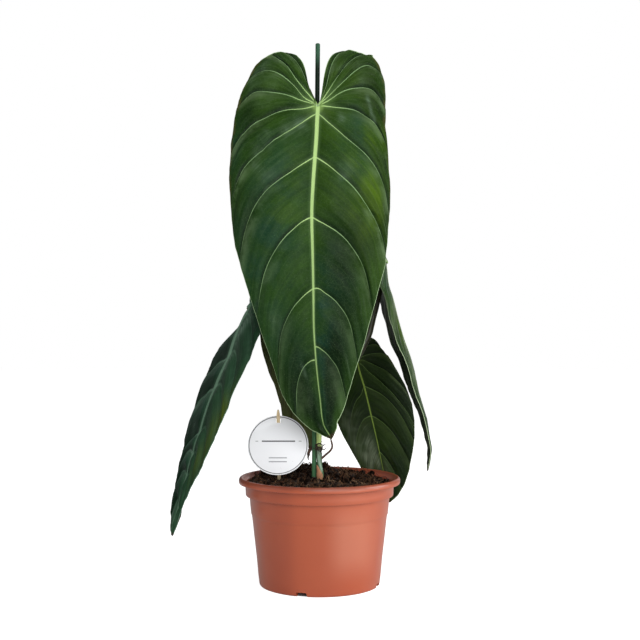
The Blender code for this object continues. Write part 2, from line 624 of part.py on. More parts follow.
BACK = {
    "spine": [(-8.6, 50.0, 405.0), (-12.3, 53.0, 360.1), (-15.8, 54.0, 323.3), (-19.0, 54.0, 285.2),
              (-17.8, 53.0, 255.8), (-16.2, 51.0, 233.8), (-17.1, 49.0, 208.2), (-19.0, 48.0, 191.1),
              (-16.5, 46.0, 170.5), (-10.4, 45.0, 153.6)],
    "lobe": [(-7.6, 50.5, 420.0), (-6.8, 49.0, 434.2), (-6.0, 45.0, 447.0)],
    "across": [(-0.2, -1.0, -0.02, 0.0), (1.0, -1.0, -0.02, 0.0)],
    "bend_right": [(-0.2, -2.0, 16.0), (0.5, -2.0, 18.0), (1.0, 0.0, 6.0)],
    "bend_left": [(-0.2, -2.0, 16.0), (0.5, -2.0, 18.0), (1.0, 0.0, 6.0)],
    "half": 58.0, "left": 1.0, "right": 1.0, "lobe_scale": 0.95, "sinus": (1.2, 1.2),
    "spread": (0.95, 0.95), "thick": 0.8,
    "wave": (1.5, 6.5, 0.1),
}
RIGHT = {
    "spine": [(81.5, 40.0, 379.1), (83.9, 37.0, 354.7), (89.0, 34.0, 337.6), (95.7, 29.0, 309.8),
              (101.6, 24.0, 288.2), (110.0, 18.0, 263.1), (117.9, 10.0, 226.5), (125.8, 4.0, 197.3),
              (129.6, -1.0, 172.9), (131.4, -3.0, 157.8), (127.1, -5.0, 133.3)],
    "lobe": [(79.6, 42.0, 392.0), (76.0, 43.0, 406.0), (70.0, 43.0, 418.0)],
    "across": [(-0.2, 0.0, 1.0, 0.0), (1.0, 0.0, 1.0, 0.0)],
    "bend_right": [(-0.2, 4.0, 14.0), (0.5, 6.0, 14.0), (1.0, 4.0, 6.0)],
    "bend_left": [(-0.2, 4.0, 14.0), (0.5, 6.0, 14.0), (1.0, 4.0, 6.0)],
    "half": 60.0, "left": 1.0, "right": 1.0, "lobe_scale": 0.9, "sinus": (1.2, 1.2),
    "spread": (0.95, 0.95), "thick": 0.8,
    "wave": (1.5, 6.0, 0.7),
}
LOW = {
    "spine": [(47.7, 90.0, 258.7), (51.1, 91.0, 244.2), (56.2, 93.0, 227.7), (61.3, 95.0, 207.3),
              (65.8, 96.0, 188.3), (71.6, 98.0, 164.0), (76.7, 99.0, 139.9), (81.8, 100.0, 115.6),
              (87.0, 101.0, 92.7), (89.6, 101.5, 79.0)],
    "lobe": [(46.6, 89.5, 268.0), (45.4, 88.5, 280.0), (44.0, 87.0, 291.0)],
    "across": [(-0.2, 1.0, 0.0, 0.0), (1.0, 1.0, 0.0, 0.0)],
    "bend_right": [(-0.2, 0.0, 14.0), (0.5, -2.0, 16.0), (1.0, 0.0, 6.0)],
    "bend_left": [(-0.2, 0.0, 14.0), (0.5, -2.0, 16.0), (1.0, 0.0, 6.0)],
    "widths_right": [(-0.2, 0.64), (0.0, 0.66), (0.09, 0.80), (0.23, 0.93), (0.38, 1.0), (0.49, 0.93),
                     (0.66, 0.72), (0.81, 0.52), (0.90, 0.33), (0.96, 0.18), (0.98, 0.10), (1.0, 0.0)],
    "half": 50.0, "left": 0.94, "right": 1.08, "lobe_scale": 0.92, "sinus": (1.6, 1.9),
    "spread": (0.95, 0.92), "thick": 0.8,
    "wave": (1.4, 5.0, 0.4),
}

make_blade("blade_front", FRONT)
make_blade("blade_left", LEFT)
make_blade("blade_back", BACK)
make_blade("blade_right", RIGHT)
make_blade("blade_low", LOW)

# ----------------------------------------------------------------- petioles

tube("petiole_front", [(0.0005, -0.0083, 0.362), (0.0003, -0.0086, 0.375), (-0.0012, -0.0088, 0.43),
                       (-0.0022, -0.0082, 0.50), (-0.0020, -0.0080, 0.545), (-0.0018, -0.0099, 0.5590)],
     [2.6 * MM, 2.9 * MM, 2.9 * MM, 2.8 * MM, 2.7 * MM, 2.3 * MM], 10, 16, petiole_mat)
tube("petiole_left", [(-0.0045, -0.0067, 0.244), (-0.0066, -0.0068, 0.256), (-0.022, -0.001, 0.284),
                      (-0.048, 0.014, 0.311), (-0.070, 0.025, 0.3215), (-0.0841, 0.0304, 0.3244)],
     [2.6 * MM, 2.9 * MM, 2.8 * MM, 2.6 * MM, 2.5 * MM, 2.2 * MM], 10, 16, petiole_mat)
tube("petiole_back", [(0.0014, 0.0031, 0.289), (0.0017, 0.0052, 0.301), (0.000, 0.015, 0.335),
                      (-0.003, 0.028, 0.369), (-0.0072, 0.040, 0.397), (-0.0084, 0.0480, 0.4047)],
     [2.4 * MM, 2.6 * MM, 2.6 * MM, 2.5 * MM, 2.4 * MM, 2.1 * MM], 10, 14, petiole_mat)
tube("petiole_right", [(0.0065, -0.0026, 0.214), (0.0080, -0.0024, 0.222), (0.0303, 0.0100, 0.2420),
                       (0.0583, 0.0250, 0.2893), (0.0720, 0.0340, 0.3376), (0.0765, 0.0385, 0.3650),
                       (0.0789, 0.0399, 0.3779)],
     [3.0 * MM, 3.3 * MM, 3.5 * MM, 3.7 * MM, 3.3 * MM, 2.7 * MM, 2.3 * MM], 10, 18, petiole_dark_mat)
tube("petiole_low", [(0.0034, 0.0022, 0.185), (0.0058, 0.0042, 0.192), (0.0230, 0.0150, 0.220),
                     (0.0400, 0.0400, 0.258), (0.0465, 0.0700, 0.283), (0.0472, 0.0850, 0.280),
                     (0.0474, 0.0895, 0.2666)],
     [2.4 * MM, 2.7 * MM, 2.7 * MM, 2.6 * MM, 2.4 * MM, 2.2 * MM, 1.9 * MM], 10, 20, petiole_mat)
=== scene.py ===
# Potted climbing philodendron on a green stake, dressed for the studio.
# Metres, +Z up, seen from -Y. The pot stands on the floor at the origin.

import bpy
import math
import numpy as np
from contextlib import contextmanager
from functools import cached_property
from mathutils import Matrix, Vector, noise


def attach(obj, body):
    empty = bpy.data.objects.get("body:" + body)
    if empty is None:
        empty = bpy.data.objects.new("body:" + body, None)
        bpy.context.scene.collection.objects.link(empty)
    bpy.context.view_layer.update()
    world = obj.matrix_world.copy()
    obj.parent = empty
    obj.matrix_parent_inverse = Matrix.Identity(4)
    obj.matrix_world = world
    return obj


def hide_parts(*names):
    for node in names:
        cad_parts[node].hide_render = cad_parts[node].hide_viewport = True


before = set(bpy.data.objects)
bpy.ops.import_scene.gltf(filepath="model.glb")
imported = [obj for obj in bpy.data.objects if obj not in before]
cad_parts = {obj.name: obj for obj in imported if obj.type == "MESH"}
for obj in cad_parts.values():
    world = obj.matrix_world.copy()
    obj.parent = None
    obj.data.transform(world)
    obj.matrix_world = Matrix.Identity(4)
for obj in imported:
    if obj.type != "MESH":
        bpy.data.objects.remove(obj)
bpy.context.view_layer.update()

MM = 0.001
FULL_TURN = 2 * math.pi


# Camera

def studio_camera():
    cam = bpy.data.cameras.new("camera")
    cam.sensor_width = 36.0
    cam.lens = 64.29
    cam.clip_start = 0.05
    cam.clip_end = 30.0
    ob = bpy.data.objects.new("camera", cam)
    bpy.context.scene.collection.objects.link(ob)
    ob.location = (0.0006, -1.35, 0.311)
    ob.rotation_euler = (math.radians(90.0), 0.0, 0.0)
    bpy.context.scene.camera = ob


# Shader trees, written as sums and products

def fill(tree, socket, value):
    """Links a socket to another one, or gives it a plain value."""
    if isinstance(value, Amount):
        value = value.socket
    if isinstance(value, bpy.types.NodeSocket):
        tree.links.new(value, socket)
    elif isinstance(value, tuple) and len(value) == 3 and socket.type == "RGBA":
        socket.default_value = value + (1.0,)
    else:
        socket.default_value = value


class Amount:
    """A number in a shader tree. Arithmetic on it adds Math nodes."""

    def __init__(self, draw, socket):
        self.draw = draw
        self.socket = socket

    def math(self, operation, a, b=0.0):
        node = self.draw.put("Math", {0: a, 1: b, 2: 0.0}, operation=operation)
        return Amount(self.draw, node.outputs[0])

    def __add__(self, other):
        return self.math("ADD", self, other)

    def __radd__(self, other):
        return self.math("ADD", other, self)

    def __sub__(self, other):
        return self.math("SUBTRACT", self, other)

    def __rsub__(self, other):
        return self.math("SUBTRACT", other, self)

    def __mul__(self, other):
        return self.math("MULTIPLY", self, other)

    def __rmul__(self, other):
        return self.math("MULTIPLY", other, self)

    def __truediv__(self, other):
        return self.math("DIVIDE", self, other)

    def __pow__(self, other):
        return self.math("POWER", self, other)

    def __abs__(self):
        return self.math("ABSOLUTE", self)

    def root(self):
        return self.math("SQRT", self)

    def sine(self):
        return self.math("SINE", self)

    def fraction(self):
        return self.math("FRACT", self)

    def larger(self, other):
        return self.math("MAXIMUM", self, other)

    def held(self):
        """Keeps the last sum or product between 0 and 1."""
        self.socket.node.use_clamp = True
        return self

    def step(self, low, high, to_low=0.0, to_high=1.0):
        """Smooth step of the number from low to high."""
        return self.draw.amount("MapRange", {0: self, 1: low, 2: high, 3: to_low, 4: to_high},
                                interpolation_type="SMOOTHSTEP")

    def near(self, middle, inner, outer, at_middle=1.0):
        """Full close to the middle value, nothing past the outer distance."""
        return abs(self - middle).step(inner, outer, at_middle, 0.0)


class Drawing:
    """Short ways to add nodes to one shader tree."""

    def __init__(self, tree):
        self.tree = tree

    def put(self, kind, inputs=None, **props):
        """Adds a shader node, sets its properties and its inputs, and returns it."""
        node = self.tree.nodes.new("ShaderNode" + kind)
        for key, value in props.items():
            setattr(node, key, value)
        for key, value in (inputs or {}).items():
            fill(self.tree, node.inputs[key], value)
        return node

    def amount(self, kind, inputs, output=0, **props):
        return Amount(self, self.put(kind, inputs, **props).outputs[output])

    def read(self, name):
        """A number stored on the mesh."""
        return self.amount("Attribute", {}, "Fac", attribute_name=name)

    @cached_property
    def place(self):
        return self.put("TexCoord").outputs["Object"]

    @cached_property
    def axes(self):
        return [Amount(self, socket) for socket in self.put("SeparateXYZ", {0: self.place}).outputs]

    def vector(self, *parts):
        return self.put("CombineXYZ", dict(enumerate(parts))).outputs[0]

    def stretched(self, *scale):
        return self.put("Mapping", {"Vector": self.place, "Scale": scale}).outputs[0]

    def cloud(self, scale, detail=3.0, rough=0.55, vector=None):
        return self.amount("TexNoise", {"Vector": vector or self.place, "Scale": scale, "Detail": detail,
                                        "Roughness": rough})

    def blend(self, share, a, b):
        return self.put("Mix", {0: share, 6: a, 7: b}, data_type="RGBA", blend_type="MIX").outputs[2]

    def use(self, group, values):
        """Places a pattern with its own values, and returns its outputs."""
        node = self.put("Group", node_tree=group)
        for key, value in values.items():
            fill(self.tree, node.inputs[key], value)
        return node.outputs


RESULTS = {"Color": "NodeSocketColor", "Roughness": "NodeSocketFloat", "Height": "NodeSocketFloat"}


def new_pattern(name, inputs, paint):
    """A shader node group with named inputs that puts out colour, roughness and height."""
    group = bpy.data.node_groups.new(name, "ShaderNodeTree")
    for label, value in inputs.items():
        colour = isinstance(value, tuple)
        kind = RESULTS["Color" if colour else "Height"]
        socket = group.interface.new_socket(label, in_out="INPUT", socket_type=kind)
        socket.default_value = value + (1.0,) if colour else value
    for label, kind in RESULTS.items():
        group.interface.new_socket(label, in_out="OUTPUT", socket_type=kind)
    given = group.nodes.new("NodeGroupInput").outputs
    results = group.nodes.new("NodeGroupOutput").inputs
    for label, value in zip(RESULTS, paint(Drawing(group), given)):
        fill(group, results[label], value)
    return group


def new_material(name):
    mat = bpy.data.materials.new(name)
    mat.use_nodes = True
    return mat, Drawing(mat.node_tree)


def coat_with(draw, color, rough, height, strength, depth, **others):
    """Feeds the Principled shader. What is the same all over is set on its own sockets."""
    bump = draw.put("Bump", {"Height": height, "Strength": strength, "Distance": depth})
    sockets = draw.tree.nodes["Principled BSDF"].inputs
    for key, value in {"Base Color": color, "Roughness": rough, "Normal": bump.outputs[0]}.items():
        fill(draw.tree, sockets[key], value)
    for key, value in others.items():
        fill(draw.tree, sockets[key.replace("_", " ")], value)


def plain_material(name, group, values, strength, depth, **others):
    """A material that is one pattern with its own values."""
    mat, draw = new_material(name)
    pattern = draw.use(group, values)
    coat_with(draw, pattern["Color"], pattern["Roughness"], pattern["Height"], strength, depth, **others)
    return mat


# Leaf surface, drawn along the veins with the blade's own attributes:
# phase counts the side veins, gap is their spacing in millimetres, reach goes
# from midrib to margin, rib and edge are millimetres from midrib and margin,
# and flow goes from stalk to tip. Fresh marks patches of younger tissue and
# blush the reddish margin. The other patch marks hold bluer tissue that is
# partly painted sheen, patches of painted shade and patches of painted highlight.

def paint_leaf(draw, given):
    blend, cloud, place = draw.blend, draw.cloud, draw.place
    deep, light, vein, rib_colour = given["Deep"], given["Light"], given["Vein"], given["Rib"]
    phase, reach, gap, rib, edge, flow = [draw.read(name) for name in
                                          ("phase", "reach", "gap", "rib", "edge", "flow")]

    # base tissue: clouds, streaks along the side veins, painted highlight on the crests and a painted lit
    # band below each side vein
    fine = cloud(95.0, 4.0)
    streak = cloud(2.2, vector=draw.vector(phase * 5.0, reach * 1.2, flow * 2.0))
    brushed = cloud(1.6, 2.0, 0.5, draw.vector(phase * 13.0, reach * 1.6, flow * 1.5)).step(0.40, 0.66)
    below = (phase + 4.0).fraction()
    tone = cloud(16.0).step(0.3, 0.7) * 0.5 + fine.step(0.3, 0.75) * 0.18
    tone = tone + abs((phase * math.pi).sine()) * 0.12 + below.step(0.08, 0.6, 0.20, 0.0)
    tone = tone + brushed * given["Streaks"] * 0.45
    tone = (tone + streak.step(0.42, 0.68) * given["Streaks"] * 0.25).held()
    color = blend(tone, deep, light)
    fresh = draw.read("fresh") * (0.35 + (streak * 0.7 + brushed * 0.4))
    color = blend(fresh.held(), color, given["Fresh"])
    patchy = cloud(34.0, 4.0, 0.6).step(0.36, 0.62)
    # bluer tissue, partly painted sheen
    cool = draw.read("cool") * (0.35 + patchy * 0.75)
    color = blend(cool.held(), color, given["Cool"])
    # painted shade: darkened patches on the blade
    dusk = draw.read("dusk") * (0.55 + streak * 0.7)
    color = blend(dusk.held(), color, blend(0.5, deep, (0.002, 0.005, 0.002)))

    # minor veins between the side veins
    per_gap = 6.0
    wobble = (cloud(60.0, 2.0) - 0.5) * 0.10
    off = abs(((phase + wobble) * per_gap + 0.5).fraction() - 0.5)
    minor = (off * gap / per_gap).step(0.15, 0.95, 1.0, 0.0) * gap.step(4.0, 14.0)
    color = blend(minor * given["Minor"], color, blend(0.35, light, vein))

    # distance from the nearest side vein, which thins towards the margin
    sway = (cloud(42.0, 2.0) - 0.5) * 1.6
    cell = abs((phase + 0.5).fraction() - 0.5)
    side_mm = abs(cell * gap + sway * reach)
    narrow = 0.85 - reach * 0.30 + reach.step(0.0, 0.14, 0.50, 0.0)
    # painted shade: tissue beside each side vein is darkened as if sunken, close to the vein it is paler
    painted_vein_shade = side_mm.step(1.5, 8.0, 1.0, 0.0) * gap.step(5.0, 16.0)
    painted_vein_shade = painted_vein_shade * (0.30 + patchy * 0.60) * (0.30 + below.step(0.50, 0.95) * 0.70)
    color = blend(painted_vein_shade, color, blend(0.35, deep, (0.002, 0.004, 0.002)))
    halo = side_mm.step(0.2, reach.step(0.05, 0.5, 6.0, 2.8), 1.0, 0.0)
    halo = halo * reach.step(0.03, 0.40, 0.50, 0.03) * flow.step(0.06, 0.25, 1.0, 0.30)
    color = blend(halo, color, blend(0.30, light, vein))
    strong = draw.read("strong")
    # painted highlight on the tissue just below each side vein
    crest = below.step(0.10, 0.42, 1.0, 0.0) * reach.step(0.25, 0.7) * patchy * gap.step(5.0, 14.0)
    crest = crest * given["Crest"] * flow.step(0.3, 0.7, 1.0, 0.45)
    color = blend(crest * strong, color, blend(0.35, light, given["Margin"]))
    # painted light and shade of a deep fold: pale under its vein, darkening towards the next one
    fold_paint = given["Fold"] * strong * gap.step(4.0, 12.0)
    painted_fold_light = fold_paint * 0.60 * below.step(0.02, 0.36, 1.0, 0.0)
    color = blend(painted_fold_light, color, blend(0.35, light, rib_colour))
    dark = below.step(0.30, 0.76) * below.step(0.90, 0.995, 1.0, 0.25)
    color = blend(fold_paint * dark, color, blend(0.30, deep, (0.001, 0.002, 0.001)))
    # the side vein itself
    width = given["Vein width"] * narrow
    side = side_mm.step(width * 0.45, width, 1.0, 0.0) * reach.step(0.80, 1.0, 1.0, 0.0)
    side_soft = side * strong * reach.step(0.0, 0.9, 0.95, 0.56) * flow.step(0.45, 0.78, 1.0, 0.72)
    bright = reach.step(0.06, 0.40, 1.0, 0.0) * given["Bright start"]
    color = blend(side_soft, color, blend(bright, vein, rib_colour))

    # the bright heart where the stalk joins, then painted highlight patches and fine net
    rib_wide = given["Rib width"] * flow.step(0.0, 1.0, 1.0, 0.22)
    from_heart = (rib * rib + (flow * 330.0) ** 2.0).root()
    heart = from_heart.step(2.0, 26.0, 0.14, 0.0) + from_heart.step(1.5, 9.0, 1.0, 0.0)
    young = blend(0.5, given["Fresh"], (0.160, 0.260, 0.020))
    color = blend(heart * given["Bright start"], color, blend(0.42, young, rib_colour))
    # painted highlight: shining patches put into the colour
    highlight_breakup = (0.45 + brushed * 0.50) * cloud(70.0, 1.0).step(0.30, 0.70, 0.25, 1.0)
    color = blend((draw.read("gleam") * highlight_breakup).held(), color, given["Gleam"])
    net = draw.amount("TexVoronoi", {"Vector": place, "Scale": 210.0}, "Distance",
                      feature="DISTANCE_TO_EDGE")
    net = net.step(0.0, 0.09, 1.0, 0.0)
    color = blend(net * 0.025, color, vein)
    color = blend(cloud(1300.0, 1.0).step(0.70, 0.76) * 0.22, color, vein)

    # midrib with a paler flank on each side
    mid = rib.step(rib_wide * 0.45, rib_wide, 1.0, 0.0)
    flank = rib.step(rib_wide, rib_wide * 2.4, 0.30, 0.0)
    color = blend(flank, color, blend(0.22, light, vein))
    color = blend(mid * flow.step(0.1, 0.9, 0.96, 0.48), color, rib_colour)

    # a blush near the margin, the thin pale margin, and the dry tip
    near_edge = draw.read("blush")
    blush = edge.step(0.5, 10.0, 1.0, 0.0) * given["Blush amount"] * fine.step(0.35, 0.6) * near_edge
    color = blend(blush, color, given["Blush"])
    rim = edge.step(0.55, 1.35, 1.0, 0.0) * (0.9 - near_edge * 0.7)
    color = blend(rim, color, given["Margin"])
    color = blend(flow.step(0.980, 0.993, 0.0, 0.90), color, (0.030, 0.015, 0.008))

    rough = given["Rough"] + fine * 0.14 + mid * 0.12
    cells = draw.amount("TexVoronoi", {"Vector": place, "Scale": 900.0}, "Distance")
    height = minor * -0.18 + cells * 0.16 + patchy * 0.35 + net * -0.10 + streak * 0.25
    return color, rough, height + brushed * 0.20 + side * -0.8


# Moulded plastic: mottling, fine grain and scuffs

def paint_plastic(draw, given):
    broad = draw.cloud(9.0)
    fine = draw.cloud(given["Grain"], 2.0)
    color = draw.blend(broad.step(0.35, 0.7) * given["Mottle"], given["Base"], given["Shade"])
    marks = draw.cloud(1.0, vector=draw.stretched(60.0, 60.0, 900.0)).step(0.66, 0.78)
    scuff = marks * draw.cloud(22.0, 2.0).step(0.5, 0.72) * given["Scuff amount"]
    color = draw.blend(scuff, color, given["Scuff"])
    rough = given["Rough"] + (broad - 0.5) * 0.12 + scuff * 0.2
    return color, rough, fine * 0.5 + scuff * 0.4


# Living and dry plant tissue on round pieces, streaked along its length

def paint_tissue(draw, given):
    lines = draw.vector(draw.read("turn") * 22.0, draw.read("length") * 28.0)
    streak = draw.cloud(1.0, 4.0, 0.6, lines)
    spots = draw.cloud(700.0, 2.0).step(0.62, 0.70)
    patches = draw.cloud(120.0).step(0.48, 0.62)
    color = draw.blend(streak.step(0.4, 0.65) * given["Streak amount"], given["Base"], given["Streak"])
    spot = (spots * 0.8).larger(patches * 0.5) * given["Spot amount"]
    color = draw.blend(spot, color, given["Spot"])
    return color, given["Rough"] + spot * 0.3, streak * given["Ridges"] + spot * 0.4


leaf_skin = new_pattern("leaf_pattern", {
    "Deep": (0.02, 0.045, 0.012), "Light": (0.05, 0.09, 0.02), "Fresh": (0.08, 0.14, 0.02),
    "Cool": (0.018, 0.044, 0.032), "Gleam": (0.085, 0.125, 0.075), "Vein": (0.2, 0.34, 0.14),
    "Rib": (0.4, 0.55, 0.28), "Margin": (0.2, 0.3, 0.12), "Blush": (0.10, 0.05, 0.02),
    "Vein width": 1.5, "Rib width": 3.0, "Minor": 0.4, "Blush amount": 0.5, "Streaks": 0.5,
    "Rough": 0.36, "Bright start": 0.6, "Crest": 0.36, "Fold": 0.0}, paint_leaf)
plastic_skin = new_pattern("moulded_plastic", {
    "Base": (0.5, 0.2, 0.1), "Shade": (0.4, 0.15, 0.08), "Scuff": (0.6, 0.35, 0.25), "Mottle": 0.5,
    "Scuff amount": 0.3, "Rough": 0.4, "Grain": 1400.0}, paint_plastic)
tissue_skin = new_pattern("plant_tissue", {
    "Base": (0.2, 0.3, 0.1), "Streak": (0.1, 0.15, 0.05), "Spot": (0.1, 0.06, 0.03), "Streak amount": 0.5,
    "Spot amount": 0.2, "Rough": 0.45, "Ridges": 0.5}, paint_tissue)


# Leaf finishes. Sheen stays at zero: the leaves are waxy, not downy.

def leaf_material(name, specular, sheen_tint, depth, **values):
    values = {key.replace("_", " "): value for key, value in values.items()}
    return plain_material(name, leaf_skin, values, 0.6, depth, Specular_IOR_Level=specular,
                          Sheen_Weight=0.0,
                          Sheen_Roughness=0.45, Sheen_Tint=sheen_tint)


front_leaf = leaf_material(
    "leaf_front", 0.065, (0.7, 0.9, 0.85), 0.0004, Deep=(0.0025, 0.015, 0.0020),
    Light=(0.021, 0.058, 0.005),
    Fresh=(0.058, 0.112, 0.003), Cool=(0.008, 0.037, 0.021), Gleam=(0.095, 0.150, 0.095),
    Vein=(0.26, 0.42, 0.19), Rib=(0.39, 0.57, 0.21), Margin=(0.36, 0.50, 0.27), Blush=(0.070, 0.055, 0.016),
    Bright_start=0.9, Vein_width=0.90, Rib_width=3.0, Minor=0.03, Blush_amount=0.60)
left_leaf = leaf_material(
    "leaf_left", 0.035, (0.7, 0.9, 0.85), 0.0004, Deep=(0.0015, 0.015, 0.005), Light=(0.023, 0.066, 0.032),
    Fresh=(0.055, 0.080, 0.006), Cool=(0.020, 0.062, 0.040), Gleam=(0.130, 0.210, 0.150),
    Vein=(0.100, 0.190, 0.125), Rib=(0.150, 0.260, 0.175), Margin=(0.15, 0.26, 0.19),
    Blush=(0.05, 0.04, 0.02),
    Bright_start=0.9, Vein_width=2.9, Rib_width=7.5, Minor=0.02, Blush_amount=0.2, Fold=0.80, Crest=0.9)
right_leaf = leaf_material(
    "leaf_right", 0.08, (0.8, 0.9, 0.7), 0.0004, Deep=(0.0020, 0.011, 0.001), Light=(0.010, 0.034, 0.003),
    Fresh=(0.062, 0.115, 0.002), Cool=(0.010, 0.040, 0.018), Vein=(0.10, 0.17, 0.07),
    Rib=(0.22, 0.33, 0.11),
    Margin=(0.42, 0.52, 0.32), Blush=(0.05, 0.04, 0.02), Vein_width=0.9, Rib_width=2.0, Minor=0.05,
    Blush_amount=0.2)
low_leaf = leaf_material(
    "leaf_low", 0.07, (0.8, 0.9, 0.7), 0.0004, Deep=(0.0010, 0.006, 0.0006), Light=(0.013, 0.032, 0.002),
    Fresh=(0.04, 0.07, 0.01), Cool=(0.044, 0.060, 0.030), Gleam=(0.10, 0.125, 0.080),
    Vein=(0.060, 0.105, 0.034), Rib=(0.19, 0.28, 0.050), Margin=(0.09, 0.12, 0.05),
    Blush=(0.05, 0.03, 0.01),
    Bright_start=0.15, Vein_width=0.8, Rib_width=1.35, Minor=0.05, Blush_amount=0.2, Fold=0.12)
right_under = leaf_material(
    "leaf_right_underside", 0.22, (0.8, 0.9, 0.7), 0.0005, Deep=(0.006, 0.014, 0.006),
    Light=(0.014, 0.028, 0.011), Fresh=(0.03, 0.05, 0.01), Vein=(0.05, 0.08, 0.03), Rib=(0.12, 0.18, 0.06),
    Margin=(0.42, 0.52, 0.32), Blush=(0.03, 0.03, 0.01), Vein_width=1.3, Rib_width=2.4, Minor=0.1,
    Blush_amount=0.1, Streaks=0.4)
back_under = leaf_material(
    "leaf_back_underside", 0.22, (0.8, 0.8, 0.6), 0.0005, Deep=(0.040, 0.043, 0.006),
    Light=(0.062, 0.078, 0.012), Fresh=(0.06, 0.07, 0.02), Vein=(0.10, 0.085, 0.030),
    Rib=(0.16, 0.15, 0.055),
    Margin=(0.09, 0.12, 0.03), Blush=(0.06, 0.03, 0.01), Vein_width=1.3, Rib_width=3.0, Minor=0.35,
    Blush_amount=0.4, Streaks=0.4)
under_leaf = leaf_material(
    "leaf_underside", 0.25, (0.8, 0.8, 0.6), 0.0005, Deep=(0.042, 0.050, 0.016),
    Light=(0.080, 0.100, 0.032),
    Fresh=(0.10, 0.13, 0.03), Cool=(0.060, 0.078, 0.040), Vein=(0.14, 0.17, 0.065), Rib=(0.24, 0.30, 0.12),
    Margin=(0.16, 0.17, 0.07), Blush=(0.08, 0.045, 0.018), Vein_width=1.3, Rib_width=3.0, Minor=0.30,
    Blush_amount=0.4, Streaks=0.4)


# Plastic finishes

def pot_material():
    """Terracotta plastic with soil splashes by the lip, dust at the foot, and painted light and shade on
    its front and lip.
    """
    mat, draw = new_material("pot_plastic")
    pattern = draw.use(plastic_skin, {
        "Base": (0.385, 0.077, 0.028), "Shade": (0.335, 0.061, 0.022), "Scuff": (0.52, 0.22, 0.13),
        "Mottle": 0.5, "Scuff amount": 0.22, "Rough": 0.36, "Grain": 1500.0})
    cloud = draw.cloud
    across, depth, height = draw.axes
    specks = cloud(330.0, 2.0).step(0.70, 0.76)
    dirt = specks * height.step(0.112, 0.124) * cloud(30.0, 1.0).step(0.50, 0.66)
    foot = height.step(0.010, 0.0, 0.0, 1.0) * cloud(140.0, 4.0).step(0.5, 0.75)
    front = depth.step(-0.035, -0.045)
    # each thin seam: its ends across, its height at the middle and its slope
    fade = 0.004
    seams = 0.0
    for left, right, at_z, slope in ((0.0058, 0.0372, 0.0830, -0.095), (0.0090, 0.0372, 0.0818, -0.080),
                                     (0.0200, 0.0455, 0.0262, 0.110), (-0.0750, -0.0600, 0.0895, 0.0)):
        span = across.step(left, left + fade) * across.step(right - fade, right, 1.0, 0.0)
        seam = height.near(at_z + across * slope, 0.00015, 0.0005) * span
        seams = seam.math("MAXIMUM", seams, seam)
    seams = seams * front
    color = draw.blend(foot * 0.35, pattern["Color"], (0.34, 0.13, 0.08))
    color = draw.blend(seams * 0.35, color, (0.30, 0.055, 0.022))
    # painted highlight right of the middle, painted shade left of it, and painted shade on the lip
    painted_sheen_band = across.near(0.037, 0.008, 0.036, 0.21) * height.step(0.010, 0.050)
    painted_sheen_band = painted_sheen_band * front * height.step(0.075, 0.105, 1.0, 0.3)
    color = draw.blend(painted_sheen_band, color, (0.66, 0.32, 0.22))
    painted_shade_band = abs(across + 0.043).step(0.004, 0.022, 0.40, 0.0)
    color = draw.blend(painted_shade_band * front, color, (0.26, 0.045, 0.018))
    # painted shade darkening the lip's top; the coat is thinner there
    painted_lip_shade = height.step(0.1212, 0.1246) * across.step(0.02, 0.085, 0.60, 0.35)
    painted_lip_shade = painted_lip_shade * cloud(60.0, 4.0).step(0.30, 0.60, 0.75, 1.0)
    color = draw.blend(painted_lip_shade, color, (0.105, 0.024, 0.012))
    color = draw.blend(dirt * 0.8, color, (0.10, 0.05, 0.03))
    grain = pattern["Height"] + dirt * 1.5 - seams * 2.0
    coat_with(draw, color, pattern["Roughness"] + dirt * 0.4 + painted_lip_shade * 0.20, grain, 0.3, 0.00008,
              Specular_IOR_Level=0.5, Coat_Weight=(0.20 - painted_lip_shade * 0.28).held(), Coat_Roughness=0.24,
              Subsurface_Weight=0.06, Subsurface_Radius=(0.004, 0.0015, 0.0008))
    return mat


def stake_material():
    """Green coating, painted nearly black as leaf shade along its upper part, lighter green at the tip."""
    mat, draw = new_material("stake_green")
    pattern = draw.use(plastic_skin, {
        "Base": (0.068, 0.170, 0.080), "Shade": (0.036, 0.105, 0.046), "Scuff": (0.17, 0.33, 0.19),
        "Mottle": 0.5, "Scuff amount": 0.45, "Rough": 0.30, "Grain": 1800.0})
    z = draw.axes[2]
    # painted shade from the leaf, with a lighter green tip above it
    ragged = z + draw.cloud(120.0) * 0.012
    painted_leaf_shade = ragged.step(0.42, 0.56) * ragged.step(0.640, 0.645, 1.0, 0.0)
    color = draw.blend(painted_leaf_shade * 0.95, pattern["Color"], (0.0015, 0.0045, 0.003))
    color = draw.blend(z.step(0.606, 0.630), color, (0.030, 0.085, 0.048))
    coat_with(draw, color, pattern["Roughness"] + painted_leaf_shade * 0.08, pattern["Height"], 0.35, 0.00005,
              Specular_IOR_Level=0.07)
    return mat


# Plant tissue, peat and bamboo

def tissue_material(name, base, streak, spot, streaks, spots, rough, ridges):
    return plain_material(name, tissue_skin, {
        "Base": base, "Streak": streak, "Spot": spot, "Streak amount": streaks, "Spot amount": spots,
        "Rough": rough, "Ridges": ridges}, 0.7, 0.0003)


